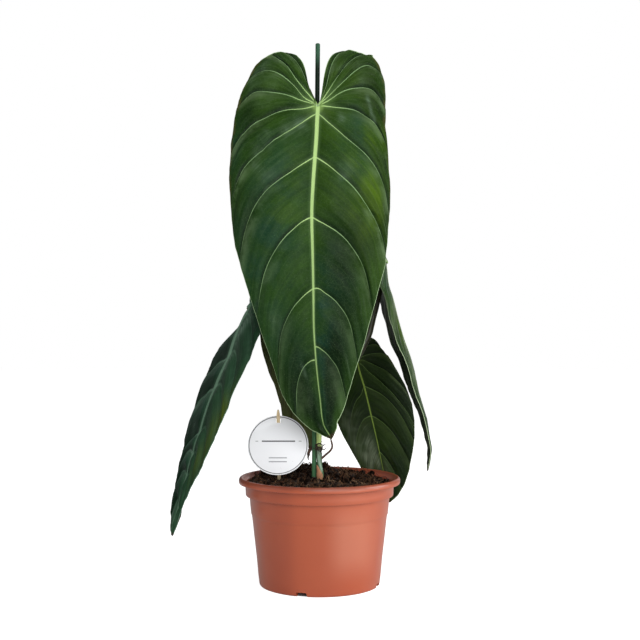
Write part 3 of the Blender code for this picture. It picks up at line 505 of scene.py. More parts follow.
def stem_material():
    """Blue-green below the node, dark and dry at it, yellow-green above, with a painted highlight down the
    front below the node.
    """
    mat, draw = new_material("stem_green")
    below = draw.use(tissue_skin, {
        "Base": (0.120, 0.225, 0.130), "Streak": (0.030, 0.085, 0.030), "Spot": (0.20, 0.14, 0.07),
        "Streak amount": 0.7, "Spot amount": 0.4, "Rough": 0.25, "Ridges": 0.6})
    above = draw.use(tissue_skin, {
        "Base": (0.52, 0.68, 0.21), "Streak": (0.36, 0.52, 0.13), "Spot": (0.16, 0.12, 0.05),
        "Streak amount": 0.45, "Spot amount": 0.25, "Rough": 0.4, "Ridges": 0.4})
    x, z = draw.axes[0], draw.axes[2]
    ragged = z + (draw.cloud(400.0) - 0.5) * 0.003
    # a painted highlight runs down the front below the node, with painted shade on its flanks
    line = -0.0012 + z.step(0.134, 0.150, 0.0030, 0.0)
    painted_shine = draw.blend(x.near(line, 0.0006, 0.0022), (0.030, 0.090, 0.030), (0.330, 0.470, 0.350))
    painted_shine = draw.blend(0.40, painted_shine, below["Color"])
    color = draw.blend(ragged.step(0.1575, 0.1615), painted_shine, above["Color"])
    dark = ragged.step(0.1570, 0.1590) * ragged.step(0.1620, 0.1640, 1.0, 0.0)
    for level in (0.190, 0.218, 0.248, 0.293, 0.360):
        dark = dark.larger(ragged.near(level - 0.0045, 0.0006, 0.0018, 0.8))
    color = draw.blend(dark * 0.85, color, (0.075, 0.055, 0.025))
    coat_with(draw, color, z.step(0.155, 0.162, 0.20, 0.42) + dark * 0.35,
              below["Height"] + dark * draw.cloud(900.0), 0.7, 0.0004)
    return mat


def peat_material(name, dark, light, coarse, rough=0.95):
    mat, draw = new_material(name)
    clumps = draw.cloud(coarse, 5.0, 0.65)
    specks = draw.cloud(coarse * 7.0, 2.0).step(0.60, 0.68)
    color = draw.blend(clumps.step(0.44, 0.66), dark, light)
    # painted shade: patches about a centimetre across go nearly black, like shaded hollows
    color = draw.blend(draw.cloud(120.0, 2.0).step(0.47, 0.56, 0.95, 0.0), color, dark)
    color = draw.blend(specks * 0.35, color, (0.15, 0.075, 0.040))
    coat_with(draw, color, rough, clumps, 0.9, 0.0012, Specular_IOR_Level=0.05)
    return mat


def bamboo_material():
    mat, draw = new_material("bamboo")
    grain = draw.cloud(1.0, 4.0, 0.6, draw.stretched(1400.0, 900.0, 34.0))
    color = draw.blend(grain.step(0.35, 0.68), (0.78, 0.64, 0.40), (0.58, 0.43, 0.24))
    color = draw.blend(draw.cloud(90.0).step(0.5, 0.8) * 0.25, color, (0.30, 0.21, 0.11))
    coat_with(draw, color, grain.step(0.2, 0.8, 0.5, 0.65), grain, 0.5, 0.0002)
    return mat


petiole_green = tissue_material("petiole_green", (0.085, 0.125, 0.045), (0.045, 0.070, 0.022),
                                (0.06, 0.035, 0.015), 0.6, 0.35, 0.42, 0.5)
petiole_brown = tissue_material("petiole_brown", (0.042, 0.048, 0.024), (0.022, 0.018, 0.010),
                                (0.05, 0.026, 0.012), 0.7, 0.6, 0.42, 0.6)
root_brown = tissue_material("root_brown", (0.105, 0.046, 0.025), (0.050, 0.022, 0.013),
                             (0.018, 0.010, 0.008), 0.7, 0.6, 0.75, 0.8)
dry_sheath = tissue_material("dry_sheath", (0.42, 0.215, 0.105), (0.28, 0.090, 0.052),
                             (0.10, 0.055, 0.030), 0.8, 0.4, 0.8, 1.0)
dead_fibre = tissue_material("dead_fibre", (0.030, 0.017, 0.011), (0.014, 0.008, 0.006),
                             (0.06, 0.035, 0.02), 0.7, 0.4, 0.8, 0.8)
PEAT_DARK = (0.0010, 0.0006, 0.0005)
peat = peat_material("peat", PEAT_DARK, (0.050, 0.022, 0.014), 420.0)
peat_lumps = peat_material("peat_lumps", PEAT_DARK, (0.165, 0.076, 0.043), 500.0)
straw = peat_material("straw", (0.22, 0.125, 0.066), (0.62, 0.43, 0.26), 900.0, 0.85)
bark = peat_material("bark_chips", (0.070, 0.036, 0.020), (0.20, 0.115, 0.062), 900.0, 0.85)


# Placing, shaping and finishing pieces

def to_object(name, verts, faces, mats, slots=None, smooth=True):
    mesh = bpy.data.meshes.new(name)
    mesh.from_pydata([tuple(map(float, v)) for v in verts], [], faces)
    for m in mats:
        mesh.materials.append(m)
    if slots is not None:
        mesh.polygons.foreach_set("material_index", slots)
    mesh.polygons.foreach_set("use_smooth", [smooth] * len(mesh.polygons))
    mesh.update()
    ob = bpy.data.objects.new(name, mesh)
    bpy.context.scene.collection.objects.link(ob)
    return ob


def give(ob, name, values):
    """Stores one number per point on the mesh."""
    layer = ob.data.attributes.new(name, "FLOAT", "POINT")
    layer.data.foreach_set("value", np.asarray(values, dtype=np.float32).ravel())


def belongs(ob, slot, *nodes):
    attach(ob, "root")
    if nodes:
        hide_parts(*nodes)
    return ob


def only(ob):
    bpy.ops.object.select_all(action="DESELECT")
    ob.select_set(True)
    bpy.context.view_layer.objects.active = ob


def started(name, add, place=(0.0, 0.0, 0.0), **sizes):
    """Adds a primitive with nothing else selected, and names it."""
    bpy.ops.object.select_all(action="DESELECT")
    add(location=place, **sizes)
    ob = bpy.context.active_object
    ob.name = name
    ob.data.name = name
    return ob


def settle(ob, place=None, turn=None, scale=None):
    """Puts the piece's place, turn and size into its mesh."""
    ob.location = place or ob.location
    ob.rotation_euler = turn or ob.rotation_euler
    ob.scale = scale or ob.scale
    only(ob)
    bpy.ops.object.transform_apply(location=True, rotation=True, scale=True)


@contextmanager
def all_in_edit(ob):
    """Edit mode with the whole mesh selected."""
    only(ob)
    bpy.ops.object.mode_set(mode="EDIT")
    bpy.ops.mesh.select_all(action="SELECT")
    yield
    bpy.ops.object.mode_set(mode="OBJECT")


def cut_levels(ob, points):
    """Cuts the faces that cross level planes, so that they can be shaped there."""
    with all_in_edit(ob):
        for point in points:
            bpy.ops.mesh.select_all(action="SELECT")
            bpy.ops.mesh.bisect(plane_co=tuple(point), plane_no=(0.0, 0.0, 1.0))


def close_up(ob, merge=0.000001):
    """Merges doubles and turns the faces outwards."""
    with all_in_edit(ob):
        bpy.ops.mesh.remove_doubles(threshold=merge)
        bpy.ops.mesh.normals_make_consistent(inside=False)


def modify(ob, kind, **values):
    only(ob)
    modifier = ob.modifiers.new(kind.lower(), kind)
    for key, value in values.items():
        setattr(modifier, key, value)
    bpy.ops.object.modifier_apply(modifier=modifier.name)


def round_edges(ob, width_mm, segments, above=30.0):
    modify(ob, "BEVEL", width=width_mm * MM, segments=segments, limit_method="ANGLE",
           angle_limit=math.radians(above))


def carve(ob, tool):
    """Cuts the tool's shape out of a piece and throws the tool away."""
    modify(ob, "BOOLEAN", operation="DIFFERENCE", solver="EXACT", object=tool)
    bpy.data.objects.remove(tool, do_unlink=True)


def finished(ob, mat, smooth_below, slot, node):
    ob.data.materials.clear()
    ob.data.materials.append(mat)
    only(ob)
    bpy.ops.object.shade_smooth_by_angle(angle=math.radians(smooth_below))
    return belongs(ob, slot, node)


def turned(name, rings, steps):
    """A turned shape about Z: a circle pulled up and sized ring by ring (r, z in mm)."""
    last_r, last_z = rings[0]
    ob = started(name, bpy.ops.mesh.primitive_circle_add, (0.0, 0.0, last_z * MM), vertices=steps,
                 radius=last_r * MM, fill_type="NOTHING")
    bpy.ops.object.transform_apply(location=True)
    with all_in_edit(ob):
        for r, z in rings[1:]:
            rise = (0.0, 0.0, (z - last_z) * MM)
            bpy.ops.mesh.extrude_edges_move(TRANSFORM_OT_translate={"value": rise})
            k = r / last_r
            bpy.ops.transform.resize(value=(k, k, 1.0), center_override=(0.0, 0.0, z * MM))
            last_r, last_z = r, z
    return ob


# Smooth curves through measured points

def arc_length(points):
    steps = np.linalg.norm(np.diff(points, axis=0), axis=1)
    return np.concatenate([[0.0], np.cumsum(steps)])


def columns_at(want, known, table):
    """Reads every column of a table at the wanted values."""
    return np.column_stack([np.interp(want, known, table[:, k]) for k in range(table.shape[1])])


def unit(vectors):
    return vectors / np.linalg.norm(vectors, axis=1)[:, None]


def track(keys, t):
    """Smooth curve through keys (parameter, x, y, ...), read at the values t."""
    keys = np.asarray(keys, float)
    ts = keys[:, 0]
    ps = keys[:, 1:]
    slope = np.empty_like(ps)
    slope[1:-1] = (ps[2:] - ps[:-2]) / (ts[2:] - ts[:-2])[:, None]
    slope[0] = (ps[1] - ps[0]) / (ts[1] - ts[0])
    slope[-1] = (ps[-1] - ps[-2]) / (ts[-1] - ts[-2])
    t = np.clip(np.atleast_1d(np.asarray(t, float)), ts[0], ts[-1])
    i = np.clip(np.searchsorted(ts, t) - 1, 0, len(ts) - 2)
    h = ts[i + 1] - ts[i]
    s = ((t - ts[i]) / h)[:, None]
    h = h[:, None]
    return ((2 * s**3 - 3 * s**2 + 1) * ps[i] + (s**3 - 2 * s**2 + s) * h * slope[i]
            + (3 * s**2 - 2 * s**3) * ps[i + 1] + (s**3 - s**2) * h * slope[i + 1])


def along(points, count):
    """Points spaced evenly along a smooth curve through the given points."""
    pts = np.asarray(points, float)
    t = arc_length(pts)
    fine = track(np.column_stack([t, pts]), np.linspace(0, t[-1], 600))
    run = arc_length(fine)
    return columns_at(np.linspace(0, run[-1], count), run, fine)


# One half of the leaf pattern, from the sinus round the lobe to the tip. Each
# row is one line that follows the side veins: start on the midrib (share of
# the length), margin point (shares of half width and length), and the pull
# point of the curve.
LINES = [(0, 0.3, -0.166, 0.04, -0.135), (0, 0.55, -0.168, 0.22, -0.125), (0, 0.78, -0.138, 0.45, -0.175),
         (0, 0.9, -0.082, 0.59, -0.165), (0, 0.965, -0.012, 0.6, -0.108), (0, 0.99, 0.05, 0.64, -0.08),
         (0, 1, 0.165, 0.67, -0.06), (0.012, 0.985, 0.23, 0.74, 0.03), (0.024, 0.98, 0.29, 0.82, 0.12),
         (0.085, 0.93, 0.395, 0.81, 0.19), (0.154, 0.86, 0.5, 0.75, 0.245),
         (0.245, 0.74, 0.595, 0.64, 0.325), (0.334, 0.62, 0.685, 0.54, 0.395),
         (0.44, 0.52, 0.768, 0.45, 0.49), (0.548, 0.43, 0.843, 0.37, 0.59), (0.65, 0.35, 0.895, 0.3, 0.685),
         (0.744, 0.27, 0.934, 0.23, 0.77), (0.85, 0.17, 0.968, 0.14, 0.868),
         (0.935, 0.08, 0.988, 0.06, 0.946), (1, 0, 1, 0, 1)]
# margin's share of the half width, by share of the length
WIDTHS = [(-0.2, 0.98), (0, 0.98), (0.07, 1), (0.19, 1), (0.25, 0.98), (0.31, 0.96), (0.37, 0.94),
          (0.43, 0.91), (0.49, 0.86), (0.55, 0.79), (0.61, 0.72), (0.67, 0.64), (0.73, 0.57), (0.79, 0.49),
          (0.85, 0.42), (0.91, 0.32), (0.96, 0.2), (0.98, 0.11), (1, 0)]


def leaf_half(widths, lobe, sinus, spread, u, nr):
    """Flat pattern of one half at the rows u, as shares of its width and length."""
    keys = np.asarray(LINES)
    rows = track(np.column_stack([np.arange(len(keys)), keys]), u)
    b0, margin_a, margin_b, pull_a, pull_b = rows.T
    table = np.asarray(widths)
    profile = np.interp(np.clip(margin_b, 0, 1), table[:, 0], table[:, 1])
    lobe_scale = np.interp(0.0, table[:, 0], table[:, 1]) / WIDTHS[0][1]
    has_width = np.abs(margin_a) > 1e-6
    new_a = np.where(margin_b > 0, profile, margin_a * lobe_scale)
    ratio = np.where(has_width, new_a / np.where(has_width, margin_a, 1), 0)
    pull_a = pull_a * np.where(has_width, ratio, 0)
    new_a[-1] = 0.0
    # how far the shoulder of the lobe stands out
    shoulder = 1 + (spread - 1) * np.interp(u, [0, 1, 3, 5], [0, 1, 1, 0])
    new_a = new_a * shoulder
    pull_a = pull_a * shoulder
    margin_b = np.where(margin_b < 0, margin_b * lobe, margin_b)
    pull_b = np.where(pull_b < 0, pull_b * lobe, pull_b)
    r = (np.linspace(0, 1, nr + 1) ** 0.93)[None, :]
    # control points of the curve from the midrib to the margin
    c1a = (2 * pull_a / 3)[:, None] + 0 * r
    c1b = (b0 + 2 * (pull_b - b0) / 3)[:, None] + 0 * r
    c2a = (new_a + 2 * (pull_a - new_a) / 3)[:, None] + 0 * r
    c2b = (margin_b + 2 * (pull_b - margin_b) / 3)[:, None] + 0 * r
    # the inner edge of the lobe follows a rounded sinus
    fade = np.clip(1 - u / 1.0, 0, 1)[:, None]
    c1a = c1a * (1 - fade) + 0.12 * sinus * fade
    c1b = c1b * (1 - fade) - 0.010 * lobe * fade
    c2a = c2a * (1 - fade) + 0.02 * sinus * fade
    c2b = c2b * (1 - fade) - 0.160 * lobe * fade
    q = 1 - r
    a = 3 * q * q * r * c1a + 3 * q * r * r * c2a + r**3 * new_a[:, None]
    b = q**3 * b0[:, None] + 3 * q * q * r * c1b + 3 * q * r * r * c2b + r**3 * margin_b[:, None]
    return a, b, r


def leaf_space(spec):
    """The curve from lobe end to tip, its distances from the junction, and the leaf's length."""
    lobe_pts = np.asarray(spec["lobe"], float) * MM
    spine = np.asarray(spec["spine"], float) * MM
    whole = np.vstack([lobe_pts[::-1], spine])
    t = arc_length(whole)
    fine_t = np.linspace(0, t[-1], 900)
    fine = track(np.column_stack([t, whole]), fine_t)
    run = arc_length(fine)
    run = run - np.interp(t[len(lobe_pts)], fine_t, run)
    return fine, run, run[-1]


def leaf_map(spec, fine, run, length, side, a, b):
    """Places pattern points (a, b in metres) of one half in space."""
    shape = a.shape
    a = a.ravel()
    b = b.ravel()
    tang = np.gradient(fine, run, axis=0)
    over = np.clip(run[0] - b, 0, None)[:, None]
    pos = columns_at(b, run, fine) - tang[0] * over
    tan = unit(columns_at(b, run, tang))
    f = b / length
    across = track(spec["across"], f)
    across = unit(across - tan * np.sum(across * tan, axis=1)[:, None])
    nor = np.cross(tan, across)
    start, curl = np.radians(track(spec["bend"][side > 0], f)).T
    width = spec["half"] * MM
    angle = start + curl * (a / width) * 0.5
    out = across * side * (a * np.cos(angle))[:, None] - nor * (a * np.sin(angle))[:, None]
    size_mm, waves, shift = spec["wave"]
    ripple = size_mm * MM * np.sin(FULL_TURN * (f * waves + shift * (1 if side > 0 else 1.37)))
    ripple = ripple * np.clip(a / width, 0, 1) ** 2.4 * np.clip((1.02 - f) * 4, 0, 1)
    pos = pos + out + nor * ripple[:, None]
    return pos.reshape(shape + (3,))


# Side veins of each half, numbered from 0 at the junction: the vein's row of the
# pattern at these shares of the way out to the margin.
VEIN_STEPS = [0, 0.1, 0.25, 0.5, 0.75, 1]
LAST_ROW = float(len(LINES) - 1)


def numbered(before, rows, after):
    """A vein table, with the inner edge of the lobe before it and the tip after it."""
    table = [(before,) + (0.0,) * len(VEIN_STEPS)]
    table += [(float(n), *row) for n, row in enumerate(rows)]
    return table + [(after,) + (LAST_ROW,) * len(VEIN_STEPS)]


VEINS_RIGHT = numbered(-0.6, [(0.9, 1, 0.88, 0.6, 0.42, 0.3), (1.9, 2.3, 1.9, 1.42, 1.22, 1.25),
    (3, 3.5, 3.25, 2.7, 2.45, 2.8), (4.4, 4.9, 4.25, 4.02, 3.9, 4.25), (6.05, 6.4, 6.38, 6.05, 5.75, 5.65),
    (7.95, 8.28, 8.4, 8.22, 8.15, 8.55), (10.15, 10.15, 10.12, 9.95, 9.75, 9.65),
    (12.15, 12.15, 12.05, 11.75, 11.4, 11.35), (14.08, 13.98, 13.9, 13.58, 13.22, 13.2),
    (15.78, 15.74, 15.68, 15.45, 15.05, 14.9)], 9.9)
VEINS_LEFT = numbered(-0.6, [(0.9, 1.1, 0.95, 0.7, 0.6, 0.55), (1.9, 2.6, 2.55, 1.9, 1.6, 1.35),
    (3, 4.1, 3.4, 3.05, 3, 3.15), (4.4, 5.6, 4.85, 4.38, 3.98, 4.2), (6.05, 6.7, 6.65, 6.5, 6.02, 5.95),
    (7.95, 8.2, 8.3, 8.28, 8.1, 8.3), (10.15, 10.22, 10.22, 9.98, 9.78, 9.75),
    (12.15, 12.12, 12.08, 11.85, 11.58, 11.5), (14.08, 14.1, 14.1, 13.98, 13.75, 13.85),
    (16.18, 16.12, 16.05, 15.88, 15.7, 15.65)], 9.9)
LOW_VEINS_RIGHT = numbered(-0.4, [(0.9, 0.9, 1, 1.2, 1.2, 1.2), (1.9, 1.95, 2.3, 2.75, 2.92, 2.9),
    (3.2, 3.6, 4.1, 4.3, 4.05, 3.8), (5.2, 6.2, 7.2, 8.05, 8.35, 8.5), (6.6, 8.4, 9.4, 10.05, 10.25, 10.3),
    (10.25, 10.4, 10.55, 10.9, 11.25, 11.3), (12.5, 12.6, 12.78, 13, 13.1, 13),
    (14.9, 15.05, 15.27, 15.55, 15.7, 15.8), (17.1, 17.2, 17.3, 17.4, 17.5, 17.5)], 8.8)
LOW_VEINS_LEFT = numbered(-0.4, [(0.9, 0.9, 1, 1.2, 1.2, 1.2), (1.9, 2, 2.3, 2.6, 2.8, 2.9),
    (3.2, 3.8, 4.2, 4.4, 4.3, 4.2), (5.2, 6, 6.6, 7, 7.2, 7.2), (6.6, 7.9, 8.4, 8.7, 8.9, 9),
    (10.25, 10.6, 10.62, 10.8, 10.95, 11), (12.5, 12.4, 12.25, 12.1, 11.88, 11.85),
    (14.9, 15.08, 15.15, 15.15, 15.1, 15.1), (17.1, 17.2, 17.2, 17.2, 17.1, 17.1)], 8.8)
HANGING_VEINS_LEFT = numbered(-0.4, [(1, 1.1, 1.2, 1.2, 1.2, 1.2), (2.4, 2.7, 2.9, 3, 3, 3),
    (4.6, 5, 5.2, 5, 4.9, 4.9), (8.2, 8.1, 7.7, 7.2, 6.9, 6.7), (10.85, 10.7, 10.38, 9.6, 8.9, 8.3),
    (12.35, 12.28, 12, 11.42, 10.5, 9.7), (14.25, 14.1, 13.95, 13.55, 12.8, 11.9),
    (15.1, 14.92, 14.65, 14.15, 13.45, 12.85), (16.1, 15.95, 15.67, 15.1, 14.35, 13.7),
    (17.4, 17.3, 17, 16.6, 16.2, 15.9)], 9.8)
HANGING_VEINS_RIGHT = numbered(-0.4, [(1, 1.1, 1.2, 1.2, 1.2, 1.2), (2.4, 2.7, 2.9, 3, 3, 3),
    (4.6, 5, 5.4, 5.6, 5.3, 5.1), (8.2, 7.5, 7.6, 7.85, 7.7, 7.1), (10.85, 10.3, 10.15, 10.05, 9.72, 9.4),
    (12.35, 12, 11.62, 11.35, 10.95, 10.7), (14.25, 13.9, 13.5, 13.1, 12.7, 12.4),
    (15.1, 14.9, 14.6, 14.2, 13.9, 13.7), (16.1, 15.9, 15.6, 15.3, 15, 14.8),
    (17.4, 17.3, 17.1, 16.9, 16.7, 16.5)], 9.8)


def both(value):
    """The same for the left and the right half of a leaf."""
    return value, value


def all_along(*direction):
    """One direction from the lobes to the tip."""
    return [(-0.2, *direction), (1.0, *direction)]


# Leaf shapes in millimetres. Pairs hold the left and the right half. Bend has
# share of the length, lean and curl in degrees. Nudge has row of the pattern,
# shift outwards and towards the tip. Dents have side, millimetres from the
# midrib, share of the length, turn, length, width and height. The patches have
# side, share of the length, share of the way out, size and power.
LARGEST_HALF = 96.0
PLAIN_LEAF = dict(scale=both(1.0), mute=both(1.0), widths=both(WIDTHS), nudge=both([]), inner=both([]),
                  dents=[],
                  fresh=[], cool=[], gleam=[], dusk=[])
FRONT = dict(
    seed=21, half=96, lobe_scale=1, quilt=4.2, folds=1.3, wave=(0.7, 8, 0.2), scale=(1.04, 0.945),
    sinus=(1.7, 0.8), spread=(0.91, 1.1), veins=(VEINS_LEFT, VEINS_RIGHT),
    spine=[(-1.8, -12, 560.8), (-2.7, -19, 543.9), (-3.4, -26, 525.3), (-5.2, -34, 498.7),
           (-7.4, -41, 465.6), (-8.8, -46, 430.8), (-7.7, -49, 385), (-6.9, -50, 339.4), (-6.3, -49, 299.6),
           (-3.5, -47, 258.6), (0.8, -45, 219.7), (4.6, -44, 192.2), (14.3, -44, 175)],
    lobe=[(-1.8, -9, 585.5), (-1.4, -3, 610.3), (-1.2, 5, 630)],
    across=all_along(1, 0, 0),
    bend=both([(-0.2, -6, 16), (0.1, -10, 34), (0.5, -8, 30), (1, 0, 8)]),
    widths=([(-0.2, 0.96), (0, 0.955), (0.07, 0.975), (0.13, 1), (0.19, 1), (0.25, 0.985), (0.31, 0.95),
             (0.37, 0.92), (0.43, 0.89), (0.49, 0.83), (0.55, 0.76), (0.61, 0.69), (0.67, 0.62),
             (0.73, 0.545), (0.79, 0.49), (0.85, 0.445), (0.91, 0.35), (0.958, 0.2), (0.982, 0.09), (1, 0)],
            [(-0.2, 0.86), (0, 0.86), (0.07, 0.89), (0.13, 0.93), (0.19, 0.96), (0.25, 0.99), (0.31, 1),
             (0.37, 0.975), (0.43, 0.94), (0.49, 0.9), (0.55, 0.82), (0.61, 0.74), (0.67, 0.67),
             (0.73, 0.6), (0.79, 0.5), (0.85, 0.4), (0.91, 0.29), (0.958, 0.19), (0.982, 0.13), (1, 0)]),
    nudge=([(0, 0, 0), (0.5, 0, -1.5), (1, 0, -2.5), (1.5, 0.5, -2.2), (2, 1, -0.5), (3, 3.3, 0),
            (3.5, 5.7, 0), (4, 5.5, 0), (4.5, 3.6, 0), (5, 2.2, 0), (6, 0, 0), (11, 0, 0), (12, -0.8, 0),
            (13.5, -1.6, 0), (15, -2, 0), (16, -3.6, -0.3), (16.5, -4.6, -1), (17, -4.2, -2.3),
            (17.5, -2.4, -2.2), (18, -0.8, -1.3), (18.5, 0, -0.4), (19, 0, 0)],
           [(0, 0, -3.9), (0.5, 0, -5.6), (1, 0, -2.7), (1.3, 0.5, -2.2), (1.5, 1, -3.6), (1.62, 3.2, -6.6),
            (1.7, 1.5, -4.2), (2, 1.5, -1.2), (2.5, 0, 0), (4, -1.3, 0), (5, 0, 0), (8.5, 0, 0),
            (10, 1.6, 0), (11.5, 2, 0), (13, 1, 0), (14.5, 0, 0)]),
    inner=([(0, 0), (0.5, 0.5), (0.7, 1.8), (0.85, 3.2), (1, 0.5)],
           []),
    dents=[(-1, 16, 0.8, 60, 11, 3, -1.6), (-1, 11, 0.79, 50, 9, 2.5, 1.2), (-1, 21, 0.79, 65, 8, 2.5, 1),
           (1, 52, -0.02, 20, 9, 3, 1.8), (1, 55, 0.015, 25, 10, 3, -1.6), (1, 60, 0.04, 20, 8, 3, 1.6),
           (1, 57, 0.07, 30, 9, 3, -1.2), (-1, 58, 0.105, -35, 16, 5, 1.8),
           (-1, 62, 0.15, -40, 16, 4, -1.6), (1, 66, 0.12, 40, 14, 4, 1.4)],
    fresh=[(1, 0.185, 0.34, 0.035, 0.55), (1, 0.235, 0.53, 0.04, 1), (1, 0.285, 0.67, 0.045, 1),
           (1, 0.35, 0.76, 0.05, 0.75), (1, 0.34, 0.46, 0.035, 0.45), (1, 0.4, 0.62, 0.04, 0.5),
           (1, 0.1, 0.55, 0.05, 0.35), (1, 0.08, 0.88, 0.05, 0.4), (1, -0.06, 0.6, 0.1, 0.35),
           (-1, -0.06, 0.55, 0.1, 0.2), (-1, 0.22, 0.25, 0.08, 0.25), (-1, 0.35, 0.3, 0.08, 0.25),
           (1, 0.2, 0.4, 0.3, 0.2), (1, 0.5, 0.8, 0.12, 0.2)],
    cool=[(1, 0.62, 0.25, 0.2, 0.85), (1, 0.85, 0.3, 0.16, 0.7), (-1, 0.8, 0.4, 0.14, 0.5),
          (-1, 0.38, 0.45, 0.13, 0.6), (-1, 0.2, 0.3, 0.1, 0.5), (1, 0.04, 0.45, 0.07, 0.5),
          (-1, 0.55, 0.95, 0.2, 0.6), (-1, 0.13, 0.95, 0.08, 0.6), (1, 0.16, 0.35, 0.09, 0.6)],
    gleam=[(-1, 0.07, 0.13, 0.025, 0.8), (-1, 0.1, 0.24, 0.025, 0.8), (-1, 0.125, 0.46, 0.03, 0.8),
           (-1, 0.185, 0.56, 0.025, 0.9), (1, 0.045, 0.22, 0.02, 0.7), (1, -0.022, 0.66, 0.016, 1),
           (1, 0.01, 0.69, 0.015, 1), (1, 0.035, 0.74, 0.014, 1), (-1, 0.79, 0.4, 0.022, 0.9),
           (1, 0.21, 0.28, 0.03, 0.5), (-1, -0.055, 0.58, 0.05, 0.55), (-1, -0.1, 0.8, 0.05, 0.4),
           (1, -0.09, 0.6, 0.04, 0.4), (-1, 0.66, 0.75, 0.05, 0.35), (-1, 0.24, 0.45, 0.05, 0.35)],
    dusk=[(1, 0.92, 0.5, 0.17, 0.95), (-1, 0.92, 0.5, 0.17, 0.85), (1, -0.05, 0.75, 0.12, 0.6),
          (-1, -0.08, 0.85, 0.08, 0.35), (1, 0.62, 0.6, 0.18, 0.6), (-1, 0.1, 0.85, 0.1, 0.3),
          (1, 0.4, 0.25, 0.12, 0.4), (1, 0.33, 0.95, 0.12, 0.45), (-1, 0.36, 0.95, 0.14, 0.6),
          (1, 0.45, 0.5, 0.12, 0.45), (-1, 0.72, 0.45, 0.14, 0.45), (1, 0.17, 0.86, 0.03, 0.7),
          (-1, 0.02, 0.75, 0.05, 0.5), (1, 0.8, 0.6, 0.12, 0.55), (-1, 0.88, 0.8, 0.1, 0.6),
          (1, 0.02, 0.92, 0.06, 0.4)])
LEFT = dict(
    seed=22, half=71, lobe_scale=0.75, quilt=5, folds=0.5, wave=(0.2, 5, 0.5), sinus=(1.2, 1.2),
    spread=(0.95, 0.95), mute=(1, 0.25), veins=(HANGING_VEINS_LEFT, HANGING_VEINS_RIGHT),
    spine=[(-86.3, 30, 325.5), (-89.9, 29, 319.4), (-97.3, 26, 302.6), (-109.5, 18, 266.7),
           (-117.5, 14, 246.6), (-126.2, 11, 227.6), (-135.9, 7, 198.2), (-142.8, 5, 177),
           (-150.3, 3, 153.6), (-160, 0, 117.3), (-168.1, -2, 86.9), (-173.1, -4, 56.6)],
    lobe=[(-84.5, 31, 338), (-83, 32, 352), (-81, 33, 364)],
    across=[(-0.2, 0.42, -0.907, 0.06), (0.15, 0.42, -0.907, 0.05), (0.5, 0.42, -0.907, 0),
            (1, 0.42, -0.907, 0)],
    bend=([(-0.2, 40, 10), (0, 32, 8), (0.08, 18, 5), (0.16, 6, 4), (0.5, 4, 4), (1, 0, 3)],
          [(-0.2, 10, 20), (0, 6, 10), (0.15, 0, 4), (0.5, -2, 5), (1, 0, 4)]),
    nudge=([(4, 0, 0), (5, 10, -6), (5.5, 14, -7), (6, 12, -5), (7, 5, 0), (8, 7.5, 0), (9, 4.5, 0),
            (10, 6, 0), (10.8, 8, 0), (11.2, 7, 0), (11.55, -4, 0), (11.8, 0, 0), (12.5, 2, 0), (14, 0, 0)],
           [(12, 0, 0), (13, -8, 0), (14, -12, 0), (15, -11, 0), (16, -8, 0), (17, -5, 0), (18, -2, 0),
            (19, 0, 0)]),
    fresh=[(1, 0.46, 0.9, 0.12, 0.9), (1, 0.66, 0.85, 0.1, 0.6), (-1, 0, 0.3, 0.05, 0.5)],
    cool=[(-1, 0.3, 0.5, 0.3, 0.6), (-1, 0.7, 0.5, 0.2, 0.5)],
    gleam=[(-1, 0.3, 0.6, 0.06, 0.2), (-1, 0.55, 0.5, 0.05, 0.2), (-1, 0.08, 0.15, 0.05, 0.6),
           (1, 0.06, 0.12, 0.06, 1.3), (1, 0.16, 0.08, 0.06, 1.3), (1, 0.26, 0.06, 0.05, 1.1),
           (1, 0.36, 0.05, 0.04, 0.8)],
    dusk=[(1, 0.2, 0.7, 0.1, 0.4)])
BACK = dict(
    seed=23, half=58, lobe_scale=0.95, quilt=1.6, folds=0.7, wave=(0.7, 6.5, 0.1), sinus=(1.2, 1.2),
    spread=(0.95, 0.95), veins=(VEINS_RIGHT, VEINS_LEFT),
    spine=[(-8.6, 50, 405), (-12.3, 53, 360.1), (-15.8, 54, 323.3), (-19, 54, 285.2), (-17.8, 53, 255.8),
           (-16.2, 51, 233.8), (-17.1, 49, 208.2), (-19, 48, 191.1), (-16.5, 46, 170.5),
           (-10.4, 45, 153.6)],
    lobe=[(-7.6, 50.5, 420), (-6.8, 49, 434.2), (-6, 45, 447)],
    across=all_along(-1, -0.02, 0),
    bend=both([(-0.2, -2, 16), (0.5, -2, 18), (1, 0, 6)]),
    nudge=([],
           [(8.5, 0, 0), (9.5, 3, 0), (11, 3.5, 0), (12.5, 3, 0), (13.5, 2.5, 0), (15, 0, 0)]),
    fresh=[(1, 0.4, 0.6, 0.15, 0.2)],
    cool=[(1, 0.5, 0.5, 0.2, 0.5)])
RIGHT = dict(
    seed=24, half=60, lobe_scale=0.9, quilt=1.8, folds=0.6, wave=(0.5, 6, 0.7), sinus=(1.2, 1.2),
    spread=(0.95, 0.95), veins=(LOW_VEINS_LEFT, LOW_VEINS_RIGHT),
    spine=[(81.5, 40, 379.1), (83.9, 37, 354.7), (89, 34, 337.6), (95.7, 29, 309.8), (101.6, 24, 288.2),
           (110, 18, 263.1), (117.9, 10, 226.5), (125.8, 4, 197.3), (129.6, -1, 172.9), (131.4, -3, 157.8),
           (127.1, -5, 133.3)],
    lobe=[(79.6, 42, 392), (76, 43, 406), (70, 43, 418)],
    across=all_along(0, 1, 0),
    bend=both([(-0.2, 4, 14), (0.5, 6, 14), (1, 4, 6)]),
    fresh=[(1, 0.32, 0.25, 0.14, 0.5), (-1, 0.32, 0.35, 0.14, 0.5), (-1, 0.6, 0.35, 0.14, 0.4)],
    cool=[(1, 0.1, 0.5, 0.1, 0.6), (-1, 0.1, 0.5, 0.1, 0.6)])
